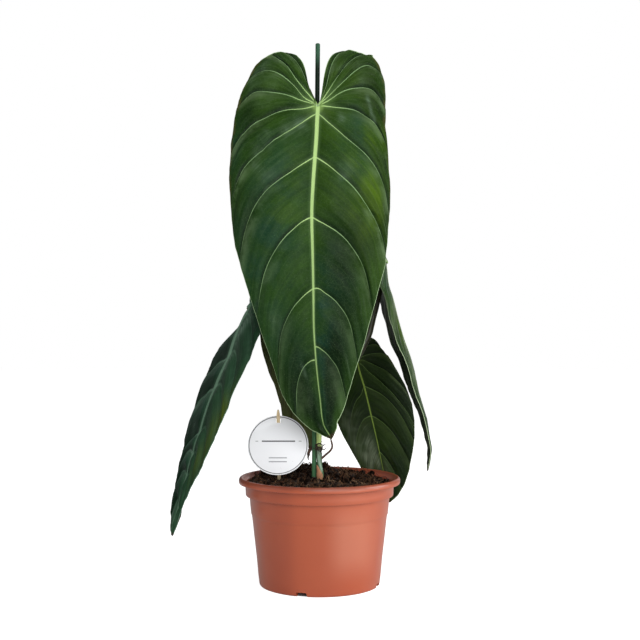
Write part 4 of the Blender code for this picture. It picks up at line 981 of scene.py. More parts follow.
LOW = dict(
    seed=25, half=50, lobe_scale=0.92, quilt=1.4, folds=0.5, wave=(0.3, 5, 0.4), scale=(0.94, 1.08),
    sinus=(1.6, 1.9), spread=(0.95, 0.92), veins=(LOW_VEINS_LEFT, LOW_VEINS_RIGHT),
    spine=[(47.7, 90, 258.7), (51.1, 91, 244.2), (56.2, 93, 227.7), (61.3, 95, 207.3), (65.8, 96, 188.3),
           (71.6, 98, 164), (76.7, 99, 139.9), (81.8, 100, 115.6), (87, 101, 92.7), (89.6, 101.5, 79)],
    lobe=[(46.6, 89.5, 268), (45.4, 88.5, 280), (44, 87, 291)],
    across=all_along(1, 0, 0),
    bend=both([(-0.2, 0, 14), (0.5, -2, 16), (1, 0, 6)]),
    widths=(WIDTHS, [(-0.2, 0.64), (0, 0.66), (0.09, 0.8), (0.23, 0.93), (0.38, 1), (0.49, 0.93),
                     (0.66, 0.72), (0.81, 0.52), (0.9, 0.33), (0.96, 0.18), (0.98, 0.1), (1, 0)]),
    nudge=([],
           [(2, 0, 0), (3, 1.6, 0), (4, 6, 0), (4.6, 4, 0), (5, 2.7, 0), (5.5, 0, 0), (6, 0, 0), (8, 1, 0),
            (9, 0.5, 0), (10, 2.5, 0), (11, 4.8, 0), (12, 5, 0), (13, 4.3, 0), (14, 4.8, 0), (15, 4.8, 0),
            (16, 3, 0), (17, 1.5, 0), (18, 0, 0)]),
    fresh=[(1, 0.45, 0.3, 0.2, 0.3)],
    cool=[(-1, 0.62, 0.4, 0.16, 0.8), (-1, 0.42, 0.85, 0.14, 0.55), (1, 0.8, 0.2, 0.1, 0.6)],
    gleam=[(-1, 0.6, 0.35, 0.1, 0.9), (-1, 0.72, 0.2, 0.07, 0.9), (-1, 0.42, 0.55, 0.12, 0.9),
           (-1, 0.58, 0.7, 0.12, 0.8), (-1, 0.72, 0.6, 0.1, 0.8)],
    dusk=[(1, 0, 0.6, 0.2, 0.5), (1, 0.35, 0.75, 0.22, 0.85), (1, 0.75, 0.85, 0.16, 0.5)])


def ridge(distance, width):
    return np.exp(-(distance / width) ** 2)


def ramp01(values):
    return np.clip(values, 0, 1)


def patches_on(side, patches, flow, reach):
    """Soft patches of strength, each given by side, place, size and power."""
    total = np.zeros_like(flow)
    for at_side, at_flow, at_reach, size, power in patches:
        if at_side == side:
            away = ((flow - at_flow) / size) ** 2
            total += power * np.exp(-away - ((reach - at_reach) / (size * 2.2)) ** 2)
    return ramp01(total)


def blade_half(spec, side, phase_line, dense, nr, space, rnd):
    """Top, underside and marks of one half, row by row along the side veins."""
    fine, run, length = space
    count = len(phase_line)
    hand = int(side > 0)
    share = spec["half"] / LARGEST_HALF
    a_all, b_all, r = leaf_half(spec["widths"][hand], spec["lobe_scale"], spec["sinus"][hand],
                                spec["spread"][hand], dense, nr)
    width = spec["half"] * MM * spec["scale"][hand]
    # the rows of the mesh follow the veins
    veins = np.asarray(spec["veins"][hand])
    at_steps = track(np.column_stack([VEIN_STEPS, veins[:, 1:].T]), r.ravel())
    rows = np.array([np.interp(phase_line, veins[:, 0], line) for line in at_steps]).T
    a = np.array([np.interp(rows[:, j], dense, a_all[:, j]) for j in range(nr + 1)]).T * width
    b = np.array([np.interp(rows[:, j], dense, b_all[:, j]) for j in range(nr + 1)]).T * length
    phase = np.repeat(phase_line[:, None], nr + 1, axis=1)
    reach = np.repeat(r, count, axis=0)
    if spec["nudge"][hand]:
        at_row, out_mm, on_mm = np.asarray(spec["nudge"][hand]).T
        a = a + np.interp(rows, at_row, out_mm) * MM * reach ** 1.6
        b = b + np.interp(rows, at_row, on_mm) * MM * reach ** 1.6
    if spec["inner"][hand]:
        at_reach, out_mm = np.asarray(spec["inner"][hand]).T
        a = a + np.interp(reach, at_reach, out_mm) * MM * ramp01(1 - rows / 1.2)
    a[:, 0] = 0.0
    b[b[:, 0] < 1e-6, 0] = 0.0
    start = b[:, 0].copy()
    top = leaf_map(spec, fine, run, length, side, a, b)
    # millimetres per side vein, and from the margin
    gap = np.linalg.norm(np.gradient(top, phase_line, axis=0), axis=2) * 1000
    step = np.linalg.norm(np.diff(top, axis=1), axis=2)
    outward = np.cumsum(step[:, ::-1], axis=1)[:, ::-1]
    edge = np.concatenate([outward, np.zeros((count, 1))], axis=1) * 1000
    inner = np.linalg.norm(top - top[0][None, :, :], axis=2) * 1000
    edge = np.minimum(edge, np.where(b <= 0, inner, 1e9))
    nor = np.cross(np.gradient(top, axis=0), np.gradient(top, axis=1)) * side
    nor = nor / np.maximum(np.linalg.norm(nor, axis=2, keepdims=True), 1e-12)
    nor[:, 0] = nor[:, 1]
    nor[-1] = nor[-2]
    fan = start == 0.0
    nor[fan, 0] = nor[fan, 2].mean(axis=0)
    # quilted tissue between the side veins, sinking to them and to the midrib
    crest = np.abs(np.sin(np.pi * phase)) ** 0.65
    body = ramp01(gap / 30.0) * ramp01(reach * 5) * np.clip((1 - reach) * 5, 0.15, 1)
    relief = spec["quilt"] * MM * (crest - 0.45) * body
    small = np.abs(np.sin(np.pi * phase * 6)) ** 0.8
    relief += 0.05 * MM * (small - 0.5) * ramp01(gap / 22.0 - 0.2) * ramp01((1 - reach) * 6)
    # long soft folds that run along the veins
    shifts = rnd.uniform(0, FULL_TURN, 6)
    folds = 0.0
    for n, (along_n, out_n, power) in enumerate(((1.7, 1.5, 0.45), (2.9, 2.6, 0.30), (4.3, 4.0, 0.20))):
        lengthwise = np.sin(FULL_TURN * along_n * phase + shifts[n] + 2.5 * reach)
        folds = folds + power * lengthwise * np.sin(math.pi * out_n * reach + shifts[n + 3])
    relief += spec["folds"] * MM * folds * ramp01(gap / 25.0) * ramp01(reach * 4)
    a_mm = a * 1000
    flow = b / length
    for on, at_a, at_flow, angle, long_mm, wide_mm, high in spec["dents"]:
        if on == side:
            da, db = a_mm - at_a, (flow - at_flow) * length * 1000
            turn = math.radians(angle)
            along_it = da * math.cos(turn) + db * math.sin(turn)
            across_it = db * math.cos(turn) - da * math.sin(turn)
            relief += high * MM * np.exp(-(along_it / long_mm) ** 2 - (across_it / wide_mm) ** 2)
    rib_w = 2.9 * share * np.interp(flow, [0, 1], [1.0, 0.25]) + 0.25
    relief -= 0.55 * MM * share * ridge(a_mm - rib_w * 1.25, rib_w * 0.45) * (flow > 0)
    relief += 0.50 * MM * share * ridge(a_mm, rib_w * 0.75) * np.clip(flow * 30, 0.4, 1)
    top = top + nor * relief[:, :, None]
    # underside: ribs stand out under the midrib and the side veins
    side_mm = np.abs(phase - np.round(phase)) * gap
    thick = 0.55 + 0.25 * ramp01(edge / 2.0)
    thick = thick + 1.7 * share ** 0.5 * ridge(a_mm, rib_w * 0.9) * (1 - ramp01(flow)) ** 0.5
    thick = thick + 0.45 * ridge(side_mm, 1.3 - 0.7 * reach) * ramp01(1.1 - reach)
    low = top - nor * thick[:, :, None] * MM
    blush = np.interp(rows, [1.2, 2.2, 7.5, 9.5], [0.0, 1.0, 1.0, 0.0]) * ramp01((reach - 0.3) * 4)
    marks = {"phase": phase, "reach": reach, "gap": gap, "rib": a_mm, "edge": edge, "flow": flow}
    for kind in ("fresh", "dusk", "cool", "gleam"):
        marks[kind] = patches_on(side, spec[kind], flow, reach)
    marks["blush"] = blush
    marks["strong"] = np.full_like(a, spec["mute"][hand])
    return top, low, marks, start


def blade(name, node, spec, face_mat, back_mat, per_vein=22, nr=46):
    """A leaf blade with veins, quilting and a wavy margin, as one closed body."""
    spec = {**PLAIN_LEAF, **spec}
    space = leaf_space(spec)
    first, last = spec["veins"][1][0][0], spec["veins"][1][-1][0]
    phase_line = np.linspace(first, last, int(round((last - first) * per_vein)) + 1)
    # one row of the mesh lies exactly on each side vein
    whole = np.round(phase_line * per_vein) / per_vein
    phase_line[1:-1] = np.where(np.abs(whole - np.round(whole)) < 1e-6, whole, phase_line)[1:-1]
    dense = np.linspace(0, len(LINES) - 1, 20 * (len(LINES) - 1) + 1)
    rnd = np.random.default_rng(spec["seed"])
    halves = [blade_half(spec, side, phase_line, dense, nr, space, rnd) for side in (1, -1)]
    tops, lows, marks, starts = zip(*halves)
    # shared points: the junction, the midrib and the tip
    shape = tops[0].shape[:2]
    on_lobe = starts[0] == 0.0
    axis_of = np.where(on_lobe, 0, np.cumsum(~on_lobe))
    tip = axis_of[-1]
    n_axis = int(tip) + 1
    own = shape[0] * shape[1]
    index = []
    for half in range(2):
        ids = n_axis + half * own + np.arange(own).reshape(shape)
        ids[:, 0] = axis_of
        ids[-1, :] = tip
        index.append(ids)
    total = n_axis + 2 * own
    points = np.zeros((2, total, 3))
    data = {k: np.zeros(total) for k in marks[0]}
    for layer, source in enumerate((tops, lows)):
        for half in range(2):
            points[layer, index[half][:, 1:].ravel()] = source[half][:, 1:].reshape(-1, 3)
        for k in range(n_axis):
            rows = np.nonzero(axis_of == k)[0]
            both_sides = [source[0][rows, 0].mean(axis=0), source[1][rows, 0].mean(axis=0)]
            points[layer, k] = np.mean(both_sides, axis=0)
    for key in data:
        for half in (1, 0):
            data[key][index[half].ravel()] = marks[half][key].ravel()
    used = np.zeros(total, bool)
    for ids in index:
        used[ids.ravel()] = True
    used_id = np.cumsum(used) - 1
    n_used = int(used.sum())
    faces, slots = [], []
    heart = ((np.abs(data["flow"]) < 0.030) & (data["rib"] < 9.5))[used]
    for half in range(2):
        ids = used_id[index[half]]
        p, q, s, t = ids[:-1, :-1], ids[1:, :-1], ids[1:, 1:], ids[:-1, 1:]
        quads = np.stack([p, q, s, t], axis=-1).reshape(-1, 4)
        if half == 1:
            quads = quads[:, ::-1]
        for quad in quads:
            ring = list(dict.fromkeys(quad.tolist()))
            if len(ring) > 2:
                faces += [tuple(ring), tuple(v + n_used for v in ring[::-1])]
                slots += [0, 0 if heart[ring].all() else 1]
        # walls along the margin and the inner edge of the lobe
        for line in (ids[:, -1], ids[0, :]):
            for v, w in zip(line[:-1].tolist(), line[1:].tolist()):
                if v != w:
                    wall = (v, w, w + n_used, v + n_used)
                    faces.append(wall[::-1] if half == 1 else wall)
                    slots.append(0)
    verts = np.vstack([points[0][used], points[1][used]])
    ob = to_object(name, verts, faces, [face_mat, back_mat], slots)
    for key, values in data.items():
        give(ob, key, np.concatenate([values[used], values[used]]))
    return belongs(ob, "leaf", node)


CAP = [(0.97, 0.22), (0.86, 0.5), (0.62, 0.78), (0.30, 0.95)]


def round_piece(name, points, radii, sides, step, mat, lumps, seed):
    """A closed round shoot along a smooth curve, with uneven thickness."""
    keys = np.column_stack([np.asarray(points, float), np.asarray(radii, float)])
    rough_length = np.linalg.norm(np.diff(keys[:, :3], axis=0), axis=1).sum()
    line = along(keys, max(6, int(rough_length / step)))
    path, rad = line[:, :3], line[:, 3]
    tang = unit(np.gradient(path, axis=0))
    centres = [path[0] - tang[0] * rad[0] * c for c, k in CAP] + list(path)
    centres += [path[-1] + tang[-1] * rad[-1] * c for c, k in CAP[::-1]]
    sizes = [rad[0] * k for c, k in CAP] + list(rad) + [rad[-1] * k for c, k in CAP[::-1]]
    dirs = [tang[0]] * len(CAP) + list(tang) + [tang[-1]] * len(CAP)
    ref = np.array([0.0, 1.0, 0.0] if abs(dirs[0][0]) > 0.8 else [1.0, 0.0, 0.0])
    verts, turn, length = [], [], []
    walked = 0.0
    for k, (c, r, d) in enumerate(zip(centres, sizes, dirs)):
        if k:
            walked += float(np.linalg.norm(c - centres[k - 1]))
        u = ref - d * np.dot(ref, d)
        u /= np.linalg.norm(u)
        w = np.cross(d, u)
        ref = u
        for j in range(sides):
            a = FULL_TURN * j / sides
            spot = Vector((math.cos(a) * 1.3 + seed, math.sin(a) * 1.3, walked * 160.0))
            grow = 1.0 + lumps * noise.noise(spot)
            verts.append(c + (u * math.cos(a) + w * math.sin(a)) * r * grow)
            turn.append(abs(j / sides - 0.5) * 2)
            length.append(walked)
    n = len(centres)
    start = len(verts)
    verts.append(centres[0] - dirs[0] * sizes[0] * 0.1)
    verts.append(centres[-1] + dirs[-1] * sizes[-1] * 0.1)
    turn += [0.5, 0.5]
    length += [0.0, walked]
    faces = []
    for k in range(n - 1):
        for j in range(sides):
            q = (j + 1) % sides
            faces.append((k * sides + j, k * sides + q, (k + 1) * sides + q, (k + 1) * sides + j))
    for j in range(sides):
        q = (j + 1) % sides
        faces.append((start, q, j))
        faces.append((start + 1, (n - 1) * sides + j, (n - 1) * sides + q))
    ob = to_object(name, verts, faces, [mat])
    give(ob, "turn", turn)
    give(ob, "length", length)
    return ob


# Pot

POT_OUTER = [
    (40.0, 0.0), (40.6, 0.25), (41.5, 2.2), (42.2, 2.6), (52.0, 2.6), (62.8, 2.6), (63.5, 2.1), (64.3, 0.5),
    (65.0, 0.0), (66.5, 0.0), (69.0, 0.0), (69.9, 0.35), (70.5, 1.0), (70.9, 2.2), (71.1, 3.4), (71.4, 6.0),
    (71.9, 9.8), (73.0, 21.0), (74.2, 33.5), (75.5, 45.0), (76.9, 57.1), (78.2, 69.0), (79.5, 80.2),
    (79.8, 82.0), (80.4, 83.2), (80.7, 84.4), (81.7, 94.5), (82.5, 103.6), (82.75, 104.5), (83.4, 104.9),
    (85.8, 105.1), (86.6, 105.3), (87.0, 106.0), (87.2, 110.5), (87.5, 117.6), (87.8, 118.6), (88.6, 119.1),
    (91.0, 119.2), (93.7, 119.2), (94.5, 119.5), (94.9, 120.2), (95.0, 121.2), (95.0, 123.0),
    (94.75, 124.3),
    (94.1, 125.4), (93.2, 126.1), (92.2, 126.4), (91.1, 126.3), (90.2, 125.8), (89.5, 124.7)]
POT_INNER = [
    (88.6, 123.2), (87.3, 121.6), (86.4, 120.0), (86.0, 118.4), (85.7, 112.0), (85.5, 106.6), (84.8, 105.5),
    (81.6, 105.0), (81.1, 104.2), (80.1, 94.0), (79.2, 85.0), (78.0, 80.0), (75.3, 56.6), (72.6, 33.5),
    (70.2, 9.8), (69.4, 5.4), (67.6, 4.4), (41.2, 4.4), (39.2, 2.0), (38.0, 1.8)]


def make_pot():
    ob = turned("pot_body", POT_OUTER + POT_INNER, 192)
    with all_in_edit(ob):
        bpy.ops.mesh.region_to_loop()
        bpy.ops.mesh.edge_face_add()
        bpy.ops.mesh.select_all(action="SELECT")
        bpy.ops.mesh.normals_make_consistent(inside=False)
    for turn in (-16.3, 73.7, 163.7, 253.7):
        carve(ob, notch_tool(math.radians(turn - 90.0)))
    return finished(ob, pot_material(), 32.0, "pot", "pot")


def notch_tool(angle):
    """The space of one drainage notch in the foot ring, its right flank slanted."""
    slant = 1.6 * MM
    tool = started("notch_tool", bpy.ops.mesh.primitive_cube_add, size=1.0)
    settle(tool, (70 * MM, 0.0, 0.0), scale=(20 * MM, 13.2 * MM, 9.8 * MM))
    for v in tool.data.vertices:
        if v.co.y > 0:
            v.co.y += -slant if v.co.z > 0 else slant
    settle(tool, turn=(0.0, 0.0, angle))
    round_edges(tool, 0.8, 3)
    return tool


make_pot()


# Green stake with a rounded top

STAKE_FOOT, STAKE_TOP = 0.0140, 0.6382


def stake_at(z):
    t = (z - 0.1217) / (0.6387 - 0.1217)
    return np.array([-0.0065 + 0.0045 * t, 0.0020, z])


def make_stake():
    length = STAKE_TOP - STAKE_FOOT
    foot, top = stake_at(STAKE_FOOT), stake_at(STAKE_TOP)
    ob = started("stake_rod", bpy.ops.mesh.primitive_cylinder_add, tuple((foot + top) / 2), vertices=40,
                 radius=2.75 * MM, depth=length, end_fill_type="NGON")
    lean = top - foot
    settle(ob, turn=(0.0, math.atan2(lean[0], lean[2]), 0.0))
    round_edges(ob, 1.6, 6)
    # long faces are cut into short ones for the wavy surface of a coated tube
    cuts = 150
    cut_levels(ob, [stake_at(STAKE_FOOT + length * k / cuts) for k in range(1, cuts)])
    for v in ob.data.vertices:
        c = stake_at(v.co.z)
        out = Vector((v.co.x - c[0], v.co.y - c[1], 0.0))
        k = 1 + 0.022 * noise.noise(Vector((out.x * 500, out.y * 500, v.co.z * 90.0)))
        v.co.x = c[0] + out.x * k
        v.co.y = c[1] + out.y * k
    return finished(ob, stake_material(), 40.0, "stake", "stake")


make_stake()


# Round label with a slot, on a bamboo peg

DISC_R, DISC_T = 35.8, 1.0
SLOT_UP, SLOT_W, SLOT_H = 28.4, 5.7, 7.4
DISC_CENTRE = np.array([-0.0488, -0.0052, 0.1638])
tilt = math.radians(20.0)
disc_up = np.array([0.0, math.sin(tilt), math.cos(tilt)])
slot_centre = DISC_CENTRE + disc_up * SLOT_UP * MM
peg_lean = math.radians(7.0)
peg_up = np.array([-0.012, -math.sin(peg_lean), math.cos(peg_lean)])
peg_top = slot_centre + peg_up * 0.0145
peg_foot = slot_centre - peg_up * 0.1250

# each ruled line: height, middle and half length, half thickness in mm, strength
RULES = [(4.6, 0.5, 19.5, 0.75, 1.0), (4.6, -25.0, 1.6, 0.35, 0.7), (4.6, 26.0, 1.6, 0.35, 0.7),
         (-15.4, 0.0, 10.5, 0.50, 0.8), (-20.0, 0.0, 10.5, 0.50, 0.8)]


def label_material():
    """White card with a thin grey ring and plain ruled lines."""
    mat, draw = new_material("label_white")
    local = draw.put("Mapping", {"Vector": draw.place, "Location": tuple(-DISC_CENTRE)}).outputs[0]
    flat = draw.put("Mapping", {"Vector": local, "Rotation": (tilt, 0.0, 0.0),
                                "Scale": (1000.0, 1000.0, 1000.0)}).outputs[0]
    u, behind, v = [Amount(draw, socket) for socket in draw.put("SeparateXYZ", {0: flat}).outputs]
    lines = (u * u + v * v).root().near(34.1, 0.38, 0.56)
    for up, middle, half, thick, strength in RULES:
        near_v = v.near(up, thick, thick + 0.15)
        lines = lines.larger(u.near(middle, half, half + 0.2) * near_v * strength)
    # only the face towards the viewer is printed
    lines = lines * behind.step(-0.1, 0.1, 1.0, 0.0)
    pattern = draw.use(plastic_skin, {
        "Base": (0.68, 0.69, 0.71), "Shade": (0.63, 0.64, 0.66), "Scuff": (0.62, 0.60, 0.58), "Mottle": 0.6,
        "Scuff amount": 0.25, "Rough": 0.42, "Grain": 2400.0})
    color = draw.blend(lines, pattern["Color"], draw.vector(0.045, 0.047, 0.05))
    grime = draw.cloud(520.0, 2.0).step(0.70, 0.75) * v.step(-8.0, -32.0) * 0.6
    color = draw.blend(grime, color, (0.16, 0.10, 0.06))
    # the card glows faintly: painted light that lifts the leaf's shadow on it
    coat_with(draw, color, pattern["Roughness"], pattern["Height"], 0.2, 0.00004, Specular_IOR_Level=0.45,
              Emission_Color=color, Emission_Strength=0.16)
    return mat


def make_disc():
    ob = started("label_card", bpy.ops.mesh.primitive_cylinder_add, vertices=160, radius=DISC_R * MM,
                 depth=DISC_T * MM, end_fill_type="NGON", rotation=(math.radians(90.0), 0.0, 0.0))
    settle(ob)
    tool = started("slot_tool", bpy.ops.mesh.primitive_cube_add, (0.0, 0.0, (SLOT_UP + 1.2) * MM), size=1.0)
    settle(tool, scale=(SLOT_W * MM, 8 * MM, (SLOT_H - 2.4) * MM))
    round_edges(tool, 0.5, 3)
    carve(ob, tool)
    round_edges(ob, 0.22, 3, 50.0)
    settle(ob, tuple(DISC_CENTRE), (-tilt, 0.0, 0.0))
    return finished(ob, label_material(), 35.0, "label_disc", "label_disc")


def make_peg():
    """A flat bamboo strip with narrowed ends, pushed through the slot."""
    length = float(np.linalg.norm(peg_top - peg_foot))
    ob = started("label_peg_strip", bpy.ops.mesh.primitive_cube_add, size=1.0)
    settle(ob, scale=(4.1 * MM, 1.2 * MM, length))
    with all_in_edit(ob):
        bpy.ops.mesh.subdivide(number_cuts=2)
    cuts = (0.42, 0.44, 0.46, 0.475, 0.49, -0.44, -0.46, -0.475, -0.485, -0.493)
    cut_levels(ob, [(0.0, 0.0, -share * length) for share in cuts])
    for v in ob.data.vertices:
        to_foot = (-v.co.z / length - 0.44) / 0.06
        if to_foot > 0:
            v.co.x *= 1 - 0.65 * min(to_foot, 1.0)
        to_top = (v.co.z / length - 0.445) / 0.055
        if to_top > 0:
            v.co.x *= 1 - 0.55 * min(to_top, 1.0) ** 1.6
    round_edges(ob, 0.18, 2)
    settle(ob, tuple((peg_top + peg_foot) / 2), (peg_lean, -0.012, 0.0))
    return finished(ob, bamboo_material(), 40.0, "label_peg", "label_peg")


make_disc()
make_peg()


# Stem, its dry sheath, roots and the dry fibres at the node

STEM = np.array([(-0.0001, -0.0025, 0.085), (-0.0002, -0.0025, 0.127), (0.0004, -0.0027, 0.1385),
                 (-0.0007, -0.0025, 0.156), (-0.0004, -0.0025, 0.185), (0.0000, -0.0026, 0.245),
                 (0.0003, -0.0027, 0.310), (0.0006, -0.0028, 0.372)])
# each row: height in metres and radius in millimetres, thicker at the nodes
STEM_RINGS = [
    (0.1385, 3.2), (0.150, 3.4), (0.156, 3.4), (0.1585, 3.4), (0.1607, 3.6), (0.1632, 3.4), (0.168, 3.2),
    (0.184, 3.35), (0.188, 3.5), (0.190, 3.75), (0.1925, 3.5), (0.212, 3.3), (0.216, 3.45), (0.218, 3.65),
    (0.2205, 3.4), (0.242, 3.2), (0.246, 3.35), (0.248, 3.55), (0.2505, 3.3), (0.287, 3.1), (0.291, 3.25),
    (0.293, 3.45), (0.2955, 3.2), (0.345, 2.95), (0.358, 3.0), (0.362, 2.9), (0.371, 1.2)]
STEM_FOOT = [(0.0030, -0.0010, 0.1235, 2.3), (0.0026, -0.0016, 0.1285, 2.6), (0.0018, -0.0024, 0.1335, 2.9)]


def stem_at(z):
    return [np.interp(z, STEM[:, 2], STEM[:, 0]), np.interp(z, STEM[:, 2], STEM[:, 1]), z]


def shoot(name, rows, sides, step_mm, mat, lumps, seed, slot, *nodes, thin=1.0):
    """A round piece from rows of a point in metres and a radius in millimetres."""
    ob = round_piece(name, [row[:3] for row in rows], [row[3] * MM * thin for row in rows], sides,
                     step_mm * MM, mat, lumps, seed)
    return belongs(ob, slot, *nodes)


shoot("stem_shoot", STEM_FOOT + [(*stem_at(z), r) for z, r in STEM_RINGS], 36, 0.9, stem_material(),
      0.05, 3,
      "stem", "stem", thin=0.96)
shoot("stem_foot", [(-0.0001, -0.0025, 0.087, 2.0), (0.0003, -0.0030, 0.1100, 2.0),
                    (0.0006, -0.0046, 0.1200, 2.0), (0.0006, -0.0060, 0.1250, 3.3),
                    (0.0000, -0.0062, 0.1290, 3.6), (-0.0010, -0.0060, 0.1330, 2.5),
                    (-0.0021, -0.0056, 0.1370, 1.3), (-0.0030, -0.0050, 0.1400, 0.5)],
      36, 0.7, dry_sheath, 0.12, 8, "stem_base", "stem_base")
shoot("root_bud_brown", [(-0.0030, 0.0040, 0.1622, 1.5), (-0.0046, 0.0072, 0.1618, 1.7),
                         (-0.0090, 0.0060, 0.1590, 2.0), (-0.0128, 0.0024, 0.1550, 2.1),
                         (-0.0133, 0.0005, 0.1490, 1.0)],
      24, 0.6, root_brown, 0.22, 5, "root", "root_bud")
shoot("aerial_root_brown", [(0.0010, -0.0030, 0.1466, 1.4), (0.0030, -0.0034, 0.1484, 1.35),
                            (0.0076, -0.0042, 0.1526, 1.2), (0.0118, -0.0045, 0.1562, 1.2),
                            (0.0143, -0.0044, 0.1596, 1.2), (0.0150, -0.0042, 0.1634, 1.1),
                            (0.0141, -0.0036, 0.1678, 1.0), (0.0130, -0.0030, 0.1719, 0.6)],
      24, 0.6, root_brown, 0.2, 6, "root", "aerial_root")

# each row: radius in millimetres, then the points of one dry strand
NODE_STRANDS = [
    (0.75, [(-0.00353, -0.0062, 0.16463), (0, -0.008, 0.166), (0.00352, -0.0085, 0.16429),
            (0.00705, -0.0075, 0.16477)]),
    (0.85, [(-0.00294, -0.0065, 0.16172), (0.00059, -0.0085, 0.16136), (0.00469, -0.0085, 0.15901),
            (0.00764, -0.007, 0.16002)]),
    (0.9, [(0.00117, -0.0075, 0.1565), (0.0029, -0.007, 0.1592), (0.0035, -0.0065, 0.1625),
           (0.0056, -0.006, 0.1642)]),
    (0.35, [(-0.00235, -0.0063, 0.15817), (0.00117, -0.008, 0.15661), (0.00352, -0.0075, 0.15302)]),
    (0.35, [(-0.0047, -0.0065, 0.16172), (-0.00388, -0.007, 0.15767), (-0.00435, -0.0066, 0.15351),
            (-0.00353, -0.006, 0.14991)]),
    (0.3, [(0, -0.007, 0.16354), (0.00235, -0.008, 0.16799), (0.0047, -0.007, 0.16883)]),
    (0.4, [(-0.00883, -0.005, 0.16214), (-0.01058, -0.006, 0.15873), (-0.01117, -0.0055, 0.15455)]),
    (0.3, [(-0.00176, -0.007, 0.1606), (-0.00117, -0.0075, 0.15537), (0.00035, -0.007, 0.15179)]),
    (0.5, [(-0.00705, -0.0068, 0.16058), (-0.00411, -0.0075, 0.15925), (0.00059, -0.0072, 0.15945),
           (0.00235, -0.006, 0.15814)]),
    (1.15, [(-0.00388, -0.0068, 0.16434), (-0.0027, -0.0074, 0.16123), (-0.00294, -0.0068, 0.15764)]),
    (1.15, [(-0.01214, -0.003, 0.15249), (-0.01354, -0.004, 0.14943), (-0.01284, -0.0035, 0.14631)])]
for number, (radius, points) in enumerate(NODE_STRANDS):
    sizes = [radius * MM * s for s in np.linspace(1.0, 0.45, len(points))]
    strand = round_piece("node_strand_%d" % number, points, sizes, 10, 0.5 * MM, dead_fibre, 0.45,
                         60 + number)
    belongs(strand, "stem")


# Leaf stalks, each from its node on the stem to the junction of its blade

def stalk(place, rows, mat, seed, slot="petiole"):
    shoot("stalk_" + place, rows, 32, 1.1, mat, 0.05, seed, slot, "petiole_" + place)


stalk("front", [(0.0006, -0.0040, 0.352, 2.4), (0.0005, -0.0083, 0.362, 2.8), (0.0003, -0.0086, 0.375, 2.9),
                (-0.0012, -0.0088, 0.43, 2.9), (-0.0022, -0.0082, 0.50, 2.8),
                (-0.0020, -0.0080, 0.545, 2.7),
                (-0.0018, -0.0094, 0.5560, 2.1), (-0.0018, -0.0104, 0.5588, 1.2)], petiole_green, 11)
stalk("left", [(-0.0010, -0.0050, 0.238, 2.2), (-0.0045, -0.0067, 0.244, 2.6),
               (-0.0066, -0.0068, 0.256, 2.9),
               (-0.022, -0.001, 0.284, 2.8), (-0.048, 0.014, 0.311, 2.6), (-0.070, 0.025, 0.3215, 2.5),
               (-0.0841, 0.0304, 0.3244, 2.2), (-0.0866, 0.0312, 0.3249, 1.6)], petiole_green, 12)
stalk("back", [(0.0010, -0.0005, 0.284, 2.0), (0.0014, 0.0031, 0.289, 2.4), (0.0017, 0.0052, 0.301, 2.6),
               (0.000, 0.015, 0.335, 2.6), (-0.003, 0.028, 0.369, 2.5), (-0.0072, 0.040, 0.397, 2.4),
               (-0.0084, 0.0480, 0.4047, 2.1), (-0.0086, 0.0494, 0.4056, 1.5)], petiole_green, 13)
stalk("right", [(0.0015, -0.0027, 0.208, 2.6), (0.0065, -0.0026, 0.214, 3.0), (0.0080, -0.0024, 0.222, 3.3),
                (0.0303, 0.0100, 0.2420, 3.5), (0.0573, 0.0250, 0.2893, 4.2), (0.0637, 0.0294, 0.3120, 4.3),
                (0.0708, 0.0338, 0.3376, 3.7), (0.0765, 0.0385, 0.3650, 2.7), (0.0789, 0.0399, 0.3779, 2.3),
                (0.0808, 0.0401, 0.3800, 1.6)], petiole_brown, 14, "petiole_brown")
stalk("low", [(0.0008, -0.0008, 0.180, 2.0), (0.0034, 0.0022, 0.185, 2.4), (0.0058, 0.0042, 0.192, 2.7),
              (0.0230, 0.0150, 0.220, 2.7), (0.0400, 0.0400, 0.258, 2.6), (0.0465, 0.0700, 0.283, 2.4),
              (0.0472, 0.0850, 0.280, 2.2), (0.0474, 0.0895, 0.2666, 1.9), (0.0476, 0.0899, 0.2610, 1.5)],
      petiole_green, 15)


# Leaves

blade("leaf_blade_front", "blade_front", FRONT, front_leaf, under_leaf, per_vein=28, nr=58)
blade("leaf_blade_left", "blade_left", LEFT, left_leaf, under_leaf)
blade("leaf_blade_back", "blade_back", BACK, right_leaf, back_under)
blade("leaf_blade_right", "blade_right", RIGHT, right_leaf, right_under)
blade("leaf_blade_low", "blade_low", LOW, low_leaf, under_leaf)


# Peat: a rough closed body, then crumbs, lumps, fibres and bark on it

SOIL_EDGE = 0.0845
# each row: height of a hump or hollow, its middle and its sizes, in metres
HUMPS = [(0.0030, -0.004, -0.004, 0.030, 0.030), (0.0120, -0.006, 0.052, 0.040, 0.026),
         (0.0060, -0.060, 0.034, 0.024, 0.026), (-0.0030, 0.050, -0.010, 0.030, 0.030)]
HOLLOWS = [(-0.0044, -0.0075, -0.009, 0.006, 0.013), (-0.0034, -0.048, 0.004, 0.008, 0.014)]
# each row: height, fineness and shift of one layer of lumps
LUMPS = [(0.0046, 85.0, (0.0, 0.0, 0.0)), (0.0032, 210.0, (3.0, 1.0, 0.0)),
         (0.0012, 520.0, (7.0, 2.0, 0.0)),
         (0.0006, 1100.0, (1.0, 5.0, 0.0))]


def hump(x, y, high, at_x, at_y, wide_x, wide_y):
    return high * math.exp(-((x - at_x) / wide_x) ** 2 - ((y - at_y) / wide_y) ** 2)


